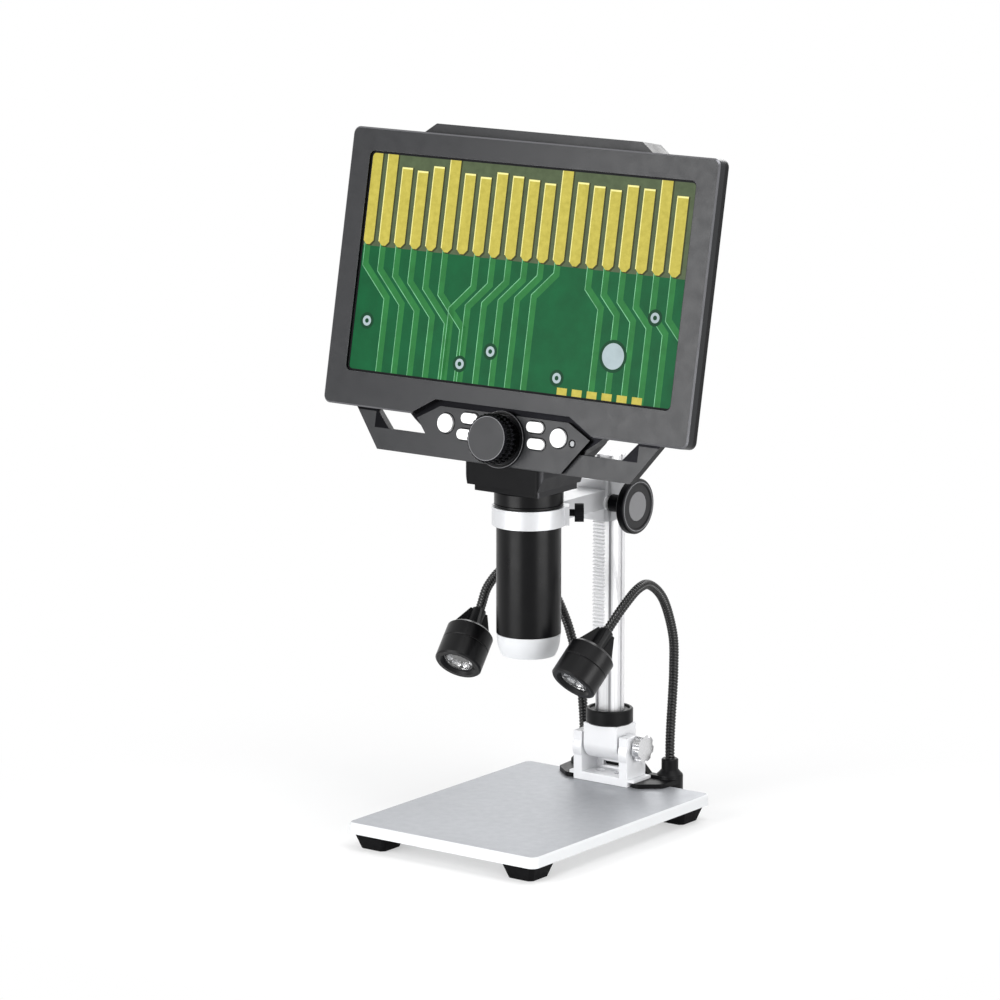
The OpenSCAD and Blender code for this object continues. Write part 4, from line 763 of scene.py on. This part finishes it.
# Thin raised rings: how far inside the rim of their face, width, height and the level they stand on
CAP_RING_MM = (CAP_INSET_MM, 0.32, 0.16, 0)
TRIM_RING_MM = (0.35, 0.22, 0.1, 0)
KNOB_RING_MM = (1.75, 0.4, 0.16, 0)
STATUS_SHADOW_RING_MM = (-0.25, 0.7, 0.25, 0.2)


def ring_piece(name, material, body, face, shape):
    """Thin raised ring on a round face, which is given as its frame and radius."""
    place, radius = face
    inset, width, height, level = (value * MM for value in shape)
    across = 2 * (radius - inset)
    bm = bmesh.new()
    swept_ring(bm, oval_path(across, across, 96), bead(width, height, level))
    make_piece(name, bm, material, body, place)


def make_rings():
    trim = axis_frame("wheel_trim", SCREEN_OUT, SCREEN_UP)
    knob = axis_frame("focus_knob", (1, 0, 0), (0, 0, 1))
    light = axis_frame("status_light", SCREEN_OUT, SCREEN_UP)
    wheel = (WHEEL, WHEEL_R)
    # Pale rings of painted highlight along the edges of the wheel's cap, its trim and the knob
    ring_piece("cap_ring", "line", "focus_wheel", wheel, CAP_RING_MM)
    ring_piece("trim_ring", "line", "head", trim, TRIM_RING_MM)
    ring_piece("knob_ring", "line", "focus_knob", knob, KNOB_RING_MM)
    # Dark ring of painted shadow round the status light
    ring_piece("status_shadow_ring", "dark", "head", light, STATUS_SHADOW_RING_MM)


# Dark lips round the buttons, which stand for the shadow in the gap round each: the panel's face in the
# screen's frame, how much wider a button's hidden flange is than its cap, the gap round the cap, and the
# lip's section above the face
PANEL_FACE_MM = -2.6
BUTTON_FLANGE = 1.2 * MM
SHADOW_GAP = 0.25 * MM
LIP_SECTION_MM = [(0, -0.4), (0.55, -0.4), (0.5, 0.03), (0.3, 0.08), (0.05, 0.03)]


def make_button_gaps():
    """Dark lip round each button's hole, which stands for the shadow in the gap round the button."""
    section = [(out * MM, (PANEL_FACE_MM + up) * MM) for out, up in LIP_SECTION_MM]
    bm = bmesh.new()
    for button in BUTTONS:
        low, high = local_box(button, SCREEN)
        length, width = (high - low).xy - Vector((BUTTON_FLANGE, BUTTON_FLANGE))
        path = oval_path(length + 2 * SHADOW_GAP, width + 2 * SHADOW_GAP)
        swept_ring(bm, path, section, (low + high).xy / 2)
    make_piece("button_shadow_lips", bm, "dark", "head", SCREEN)


# ------------------------------------------------------------ screen picture

# The pictured board is drawn in flat layers, each this far in front of the one before
LAYER = 0.02 * MM
GLASS_BORDER = 2 * MM
PICTURE_LOW, PICTURE_HIGH = local_box("screen_glass", SCREEN)
PICTURE_W = PICTURE_HIGH.x - PICTURE_LOW.x - 2 * GLASS_BORDER
PICTURE_H = PICTURE_HIGH.y - PICTURE_LOW.y - 2 * GLASS_BORDER
PICTURE_MIDDLE = (PICTURE_LOW.y + PICTURE_HIGH.y) / 2
PICTURE_Z = PICTURE_HIGH.z + LAYER
PICTURE_PLACE = SCREEN @ Matrix.Translation((0, PICTURE_MIDDLE, PICTURE_Z))
# The green mask reaches up to here, and bare board with the contact fingers lies above it
MASK_TOP = 8 * MM


# Share of a pictured colour that the display gives off, and that it has in room light
SCREEN_LIGHT = 0.95
SCREEN_PAINT = 0.2


def screen_glow(name, color, spread, scale, fleck=0.0):
    """Lit pixels of the display: colour that wanders, with an optional pale fleck."""
    s = Shader(name, tuple(c * SCREEN_PAINT for c in color), 0.5, specular=0.1)
    value = s.ranged(s.noise(scale, 5, 0.6), 0, 1)
    low = tuple(c * (1 - spread) for c in color)
    high = tuple(min(1, c * (1 + spread) + fleck) for c in color)
    s.link(s.mix(value, low, high), s.bsdf.inputs["Emission Color"])
    s.bsdf.inputs["Emission Strength"].default_value = SCREEN_LIGHT
    return s


SHADERS.update({
    "view_mask": screen_glow("view solder mask", rgb(8, 84, 46), 0.22, 60),
    "view_trace": screen_glow("view trace", rgb(40, 112, 56), 0.2, 120),
    "view_edge": screen_glow("view trace edge", rgb(120, 185, 140), 0.5, 160),
    "view_substrate": screen_glow("view substrate", rgb(78, 90, 64), 0.2, 200),
    "view_gold": screen_glow("view gold", rgb(184, 172, 72), 0.14, 300, 0.02),
    "view_gold_edge": screen_glow("view gold edge", rgb(238, 230, 150), 0.1, 300),
    "view_shade": screen_glow("view shade", rgb(52, 56, 30), 0.2, 200),
    "view_via": screen_glow("view via", rgb(165, 180, 184), 0.12, 90),
    "view_deep": screen_glow("view deep green", rgb(6, 60, 34), 0.2, 90),
})


def flat(bm, points, z):
    """Flat face at height z."""
    bm.faces.new([bm.verts.new((x, y, z)) for x, y in points])


MITRE_LEAST = 0.4


def offset_line(points, shift):
    """The polyline moved sideways by shift, with mitred corners."""
    out = []
    for i, p in enumerate(points):
        before = (Vector(p) - Vector(points[i - 1])).normalized() if i else None
        after = (Vector(points[i + 1]) - Vector(p)).normalized() if i < len(points) - 1 else None
        before, after = before or after, after or before
        normal = Vector((-(before + after).y, (before + after).x)).normalized()
        reach = shift / max(MITRE_LEAST, normal.dot(Vector((-after.y, after.x))))
        out.append((p[0] + normal.x * reach, p[1] + normal.y * reach))
    return out


def band(bm, points, left, right, z):
    """Flat ribbon along a polyline, from left to right of it."""
    a = offset_line(points, left)
    b = offset_line(points, right)
    va = [bm.verts.new((x, y, z)) for x, y in a]
    vb = [bm.verts.new((x, y, z)) for x, y in b]
    for i in range(len(points) - 1):
        bm.faces.new((va[i], va[i + 1], vb[i + 1], vb[i]))


def disc(bm, middle, radius, z, sides=40):
    flat(bm, [(middle[0] + radius * math.cos(2 * math.pi * k / sides),
               middle[1] + radius * math.sin(2 * math.pi * k / sides)) for k in range(sides)], z)


def clipped(bm):
    """Cuts everything off outside the picture."""
    for co, no in (((PICTURE_W / 2, 0, 0), (1, 0, 0)), ((-PICTURE_W / 2, 0, 0), (-1, 0, 0)),
                   ((0, PICTURE_H / 2, 0), (0, 1, 0)), ((0, -PICTURE_H / 2, 0), (0, -1, 0))):
        geometry = bm.verts[:] + bm.edges[:] + bm.faces[:]
        bmesh.ops.bisect_plane(bm, geom=geometry, plane_co=co, plane_no=no, clear_outer=True)


def picture_layer(name, material, level, draw):
    bm = bmesh.new()
    draw(bm, level * LAYER)
    clipped(bm)
    make_piece(f"view_{name}", bm, material, "head", PICTURE_PLACE, smooth=False)


# Contact fingers of the pictured board. The first one's centre line lies FINGER_START from the left
# edge. They end FINGER_FOOT above the mask, and all but the long ones stop short of the picture's
# top by FINGER_SHORT and a few steps more.
FINGER_COUNT = 20
FINGER_START = 4 * MM
FINGER_PITCH = 9.9 * MM
FINGER_W = 6.7 * MM
FINGER_CUT = 2.2 * MM
FINGER_FOOT = 0.6 * MM
FINGER_SHORT = 5 * MM
FINGER_STEP = 1 * MM
FINGER_STEPS = 4
LONG_FINGERS = (0, 1, 5, 12, 18)
# Its tracks leave the fingers in groups, each with its own sideways shift. A track drops by more than
# its left neighbour before it turns; in a group that shifts left it drops by less, so none cross.
TRACE_W = 3.4 * MM
TRACE_GROUP = 7
TRACE_SHIFTS_MM = (16, -12, 9)
TRACE_DROP = 10 * MM
TRACE_STAGGER = 2.2 * MM
TRACE_TURN_SUM = 26 * MM
TRACE_UNDER = 1 * MM
TRACE_EDGE_W = 0.35 * MM


def finger_places():
    """Centre line, top and bottom of each contact finger."""
    for i in range(FINGER_COUNT):
        x = FINGER_START + i * FINGER_PITCH - PICTURE_W / 2
        short = 0 if i in LONG_FINGERS else FINGER_SHORT + i % FINGER_STEPS * FINGER_STEP
        yield x, PICTURE_H / 2 - short, MASK_TOP + FINGER_FOOT


def finger_outline(x, top, bottom):
    """Corners of a finger with its two lower corners cut off."""
    half = FINGER_W / 2
    inner = half - FINGER_CUT
    return [(x - half, top), (x - half, bottom + FINGER_CUT), (x - inner, bottom),
            (x + inner, bottom), (x + half, bottom + FINGER_CUT), (x + half, top)]


def trace_lines():
    """Routes of the tracks on the mask: straight down, 45 degrees across, and down again."""
    for i, (x, top, bottom) in enumerate(finger_places()):
        group, place = divmod(i, TRACE_GROUP)
        if place == TRACE_GROUP - 1:
            continue
        shift = TRACE_SHIFTS_MM[group] * MM
        drop = TRACE_DROP + TRACE_STAGGER * place
        if shift < 0:
            drop = TRACE_TURN_SUM - drop
        bend = bottom - drop
        yield [(x, bottom + TRACE_UNDER), (x, bend), (x + shift, bend - abs(shift)),
               (x + shift, -PICTURE_H / 2)]


# Round holes of the pictured board: centre from the picture's middle, and radius
VIAS_MM = [
    (62, -33, 6.5), (-30, -46, 2.6), (-12, -38, 2.6), (30, -47, 2.6), (84, -12, 2.6), (-91, -30, 2.6)]
VIA_BED_MM = 1.6
VIA_HOLE_SHARE = 0.45
# Row of gold pads at its lower edge: the top of the first one's centre line, pitch and count
PAD_START_MM = (34, -51.5)
PAD_PITCH_MM = 9
PAD_COUNT = 6
PAD_SIZE_MM = (6, 5)
# A finger's shade falls to its right and below it, and light glints along its left and top
SHADE_RIGHT = 0.9 * MM
SHADE_DOWN = 0.6 * MM
GLINT_SIDE = 0.5 * MM
GLINT_TOP = 0.9 * MM
GLINT_FOOT = 2 * MM


def draw_block(bm, low, high, z):
    """Rectangle between its lower left and upper right corner."""
    flat(bm, [low, (high[0], low[1]), high, (low[0], high[1])], z)


def draw_base(bm, z):
    draw_block(bm, (-PICTURE_W / 2, -PICTURE_H / 2), (PICTURE_W / 2, MASK_TOP), z)


def draw_substrate(bm, z):
    draw_block(bm, (-PICTURE_W / 2, MASK_TOP), (PICTURE_W / 2, PICTURE_H / 2), z)


def draw_traces(bm, z):
    for line in trace_lines():
        band(bm, line, TRACE_W / 2, -TRACE_W / 2, z)


def draw_trace_edges(bm, z):
    for line in trace_lines():
        band(bm, line, -TRACE_W / 2, -TRACE_W / 2 - TRACE_EDGE_W, z)


def draw_via_beds(bm, z):
    for x, y, r in VIAS_MM:
        disc(bm, (x * MM, y * MM), (r + VIA_BED_MM) * MM, z)


def draw_vias(bm, z):
    for x, y, r in VIAS_MM:
        disc(bm, (x * MM, y * MM), r * MM, z)


def draw_via_holes(bm, z):
    """Holes in all but the first and largest, which is a solder dot."""
    for x, y, r in VIAS_MM[1:]:
        disc(bm, (x * MM, y * MM), VIA_HOLE_SHARE * r * MM, z)


def draw_pads(bm, z):
    width, height = (side * MM for side in PAD_SIZE_MM)
    top = PAD_START_MM[1] * MM
    for k in range(PAD_COUNT):
        x = (PAD_START_MM[0] + k * PAD_PITCH_MM) * MM
        draw_block(bm, (x - width / 2, top - height), (x + width / 2, top), z)


def draw_finger_shades(bm, z):
    for x, top, bottom in finger_places():
        flat(bm, finger_outline(x + SHADE_RIGHT, top, bottom - SHADE_DOWN), z)


def draw_fingers(bm, z):
    for x, top, bottom in finger_places():
        flat(bm, finger_outline(x, top, bottom), z)


def draw_finger_edges(bm, z):
    """Bright left edge of each finger, and the bright top of those that end inside the picture."""
    for x, top, bottom in finger_places():
        left, right = x - FINGER_W / 2, x + FINGER_W / 2
        draw_block(bm, (left, bottom + GLINT_FOOT), (left + GLINT_SIDE, top), z)
        if top < PICTURE_H / 2:
            draw_block(bm, (left, top - GLINT_TOP), (right, top), z)


def make_picture():
    picture_layer("mask", "view_mask", 0, draw_base)
    picture_layer("substrate", "view_substrate", 0, draw_substrate)
    picture_layer("traces", "view_trace", 1, draw_traces)
    picture_layer("trace_edges", "view_edge", 2, draw_trace_edges)
    picture_layer("finger_shades", "view_shade", 2, draw_finger_shades)
    picture_layer("via_beds", "view_deep", 3, draw_via_beds)
    picture_layer("fingers", "view_gold", 3, draw_fingers)
    picture_layer("finger_edges", "view_gold_edge", 4, draw_finger_edges)
    picture_layer("vias", "view_via", 4, draw_vias)
    picture_layer("via_holes", "view_deep", 5, draw_via_holes)
    picture_layer("pads", "view_gold", 5, draw_pads)


# Black border of the display: how far it reaches into the picture and out under the bezel
BORDER_IN = 1.1 * MM
BORDER_OUT = 0.6 * MM
BORDER_RADIUS = 3 * MM
BORDER_LEVEL = 6 * LAYER


def make_screen_border():
    """Black border of the display, just inside the bezel's opening."""
    bm = bmesh.new()
    path = rectangle_path(PICTURE_W, PICTURE_H, BORDER_RADIUS)
    swept_ring(bm, path, [(-BORDER_IN, BORDER_LEVEL), (-BORDER_IN, -BORDER_LEVEL),
                          (BORDER_OUT, -BORDER_LEVEL), (BORDER_OUT, BORDER_LEVEL)])
    make_piece("screen_border", bm, "dark", "head", PICTURE_PLACE, smooth=False)


# -------------------------------------------------------------------- screws

# Dark crosses of painted shade for the screws' cross recesses: half a bar's length and half its width, and
# where the imported screws sit, from the screen's centre
CROSS_REACH_MM = 1.5
CROSS_HALF_MM = 0.35
SCREW_SPOTS_MM = {
    "cover_screws": [(sx * 78, sy * 42) for sx in (-1, 1) for sy in (-1, 1)],
    "spine_screws": [(sx * 14, y) for sx in (-1, 1) for y in (-28, -40)],
}


def make_cross_shades():
    """Flat dark crosses on the screw heads on the back, painted shade that stands for their cross
    recesses.
    """
    reach, half = CROSS_REACH_MM, CROSS_HALF_MM
    arm = [Vector(corner) for corner in ((reach, -half), (reach, half), (half, half))]
    quarters = [Matrix.Rotation(math.pi / 2 * quarter, 2) for quarter in range(4)]
    cross = [turn @ corner for turn in quarters for corner in arm]
    for node, spots in SCREW_SPOTS_MM.items():
        low, high = local_box(node, SCREEN)
        bm = bmesh.new()
        for x, y in spots:
            flat(bm, [((x + p.x) * MM, (y + p.y) * MM) for p in cross], low.z - LAYER)
        make_piece(f"{node}_crosses", bm, "dark", "head", SCREEN, smooth=False)


make_hoses()
make_lamps()
make_wheel()
make_rings()
make_button_gaps()
make_picture()
make_screen_border()
make_cross_shades()

# -------------------------------------------------------------------- studio

SENSOR_MM = 36
CLIP_END = 20
STUDIO_MIDDLE = Vector((0, 0, 0.17))
# Upright strip lights round the object: turns of their two sides in degrees, height of their foot
# and top above the floor, and radiance
STRIP_DISTANCE = 0.55
STRIP_LIGHTS = {
    "front low": ((-31, 6), (0.005, 0.17), 8.0),
    "front high": ((-33, -8), (0.21, 0.6), 6.5),
    "right": ((66, 104), (0.005, 0.22), 6.6),
}
# Square soft boxes: turn and height in degrees, distance, side and radiance
SOFT_BOXES = {
    "top": (95, 68, 1.2, 0.9, 3.4),
    "behind": (200, 28, 1.4, 0.8, 3.4),
}
ROOM_TONE = (0.98, 0.99, 1.0, 1)
ROOM_LIGHT = 0.34
WHITE = (1, 1, 1, 1)
# Floor: half its side, how far it lies below the feet, and its matt tone
FLOOR_HALF = 8
FLOOR_DROP = 0.0002
FLOOR_TONE = (0.93, 0.93, 0.93, 1)
# Plain white takes over from the matt floor, which holds the shadow, between these distances
SHADOW_NEAR = 0.12
SHADOW_FAR = 0.32
WHITE_UNDER_OBJECT = 0.45


def outwards(turn, height):
    """Direction from the object: turned from the front, and raised, by angles in radians."""
    level = math.cos(height)
    return Vector((math.sin(turn) * level, -math.cos(turn) * level, math.sin(height)))


def place_at(thing, place, target):
    """Links a camera or light at a place, turned to its target."""
    bpy.context.scene.collection.objects.link(thing)
    thing.location = place
    thing.rotation_mode = "QUATERNION"
    thing.rotation_quaternion = (target - place).to_track_quat("-Z", "Y")


def make_camera():
    camera = bpy.data.objects.new("camera", bpy.data.cameras.new("camera"))
    camera.data.lens = VIEW_LENS_MM
    camera.data.sensor_width = SENSOR_MM
    camera.data.clip_end = CLIP_END
    place_at(camera, VIEW_TARGET + outwards(VIEW_TURN, VIEW_HEIGHT) * VIEW_DISTANCE, VIEW_TARGET)
    bpy.context.scene.camera = camera


def area_light(name, place, target, width, height, radiance):
    light = bpy.data.objects.new(name, bpy.data.lights.new(name, "AREA"))
    light.data.shape = "RECTANGLE"
    light.data.size = width
    light.data.size_y = height
    light.data.energy = radiance * math.pi * width * height
    place_at(light, place, target)


def make_lights():
    for name, (turns, (low, high), radiance) in STRIP_LIGHTS.items():
        left, right = (math.radians(turn) for turn in turns)
        width = 2 * STRIP_DISTANCE * math.tan((right - left) / 2)
        middle = Vector((0, 0, (low + high) / 2))
        place = middle + outwards((left + right) / 2, 0) * STRIP_DISTANCE
        area_light(name, place, middle, width, high - low, radiance)
    for name, (turn, height, distance, side, radiance) in SOFT_BOXES.items():
        place = STUDIO_MIDDLE + outwards(math.radians(turn), math.radians(height)) * distance
        area_light(name, place, STUDIO_MIDDLE, side, side, radiance)


def path_seen(tree):
    """1 for camera, glossy and transmission rays, and 0 for the light that falls on things."""
    path = tree.nodes.new("ShaderNodeLightPath").outputs
    mirrored = joined(tree, "MAXIMUM", path["Is Camera Ray"], path["Is Glossy Ray"])
    return joined(tree, "MAXIMUM", mirrored, path["Is Transmission Ray"])


def blend_to_output(tree, factor, lit, seen, output):
    """Surface that is lit where factor is 0 and seen where it is 1."""
    mix = tree.nodes.new("ShaderNodeMixShader")
    tree.links.new(factor, mix.inputs[0])
    tree.links.new(lit.outputs[0], mix.inputs[1])
    tree.links.new(seen.outputs[0], mix.inputs[2])
    tree.links.new(mix.outputs[0], tree.nodes[output].inputs["Surface"])


def make_world():
    """White where it is seen, and a plain room light where it falls on things."""
    world = bpy.data.worlds.new("studio")
    bpy.context.scene.world = world
    world.use_nodes = True
    tree = world.node_tree
    seen = tree.nodes["Background"]
    seen.inputs["Color"].default_value = WHITE
    lit = add_node(tree, "ShaderNodeBackground", Color=ROOM_TONE, Strength=ROOM_LIGHT)
    blend_to_output(tree, path_seen(tree), lit, seen, "World Output")


def far_from_object(tree):
    """Under a half round the object, rising to 1 on the far floor."""
    place = tree.nodes.new("ShaderNodeTexCoord")
    length = add_node(tree, "ShaderNodeVectorMath", operation="LENGTH")
    spread = add_node(tree, "ShaderNodeMapRange", interpolation_type="SMOOTHSTEP")
    spread.inputs["From Min"].default_value = SHADOW_NEAR
    spread.inputs["From Max"].default_value = SHADOW_FAR
    spread.inputs["To Min"].default_value = WHITE_UNDER_OBJECT
    tree.links.new(place.outputs["Object"], length.inputs[0])
    tree.links.new(length.outputs["Value"], spread.inputs["Value"])
    return spread.outputs["Result"]


def floor_material():
    """Matt near the object, where its shadow falls, and plain white further off."""
    material = bpy.data.materials.new("floor white")
    material.use_nodes = True
    tree = material.node_tree
    tree.nodes.remove(tree.nodes["Principled BSDF"])
    matt = add_node(tree, "ShaderNodeBsdfDiffuse", Color=FLOOR_TONE)
    glow = add_node(tree, "ShaderNodeEmission", Color=WHITE, Strength=1.0)
    factor = joined(tree, "MULTIPLY", path_seen(tree), far_from_object(tree))
    blend_to_output(tree, factor, matt, glow, "Material Output")
    return material


def make_floor():
    mesh = bpy.data.meshes.new("floor")
    bm = bmesh.new()
    bmesh.ops.create_grid(bm, x_segments=1, y_segments=1, size=FLOOR_HALF)
    bm.to_mesh(mesh)
    bm.free()
    mesh.materials.append(floor_material())
    floor = bpy.data.objects.new("floor", mesh)
    floor.location.z = -FLOOR_DROP
    bpy.context.scene.collection.objects.link(floor)


make_camera()
make_lights()
make_world()
make_floor()
bpy.context.scene.view_settings.view_transform = "Standard"
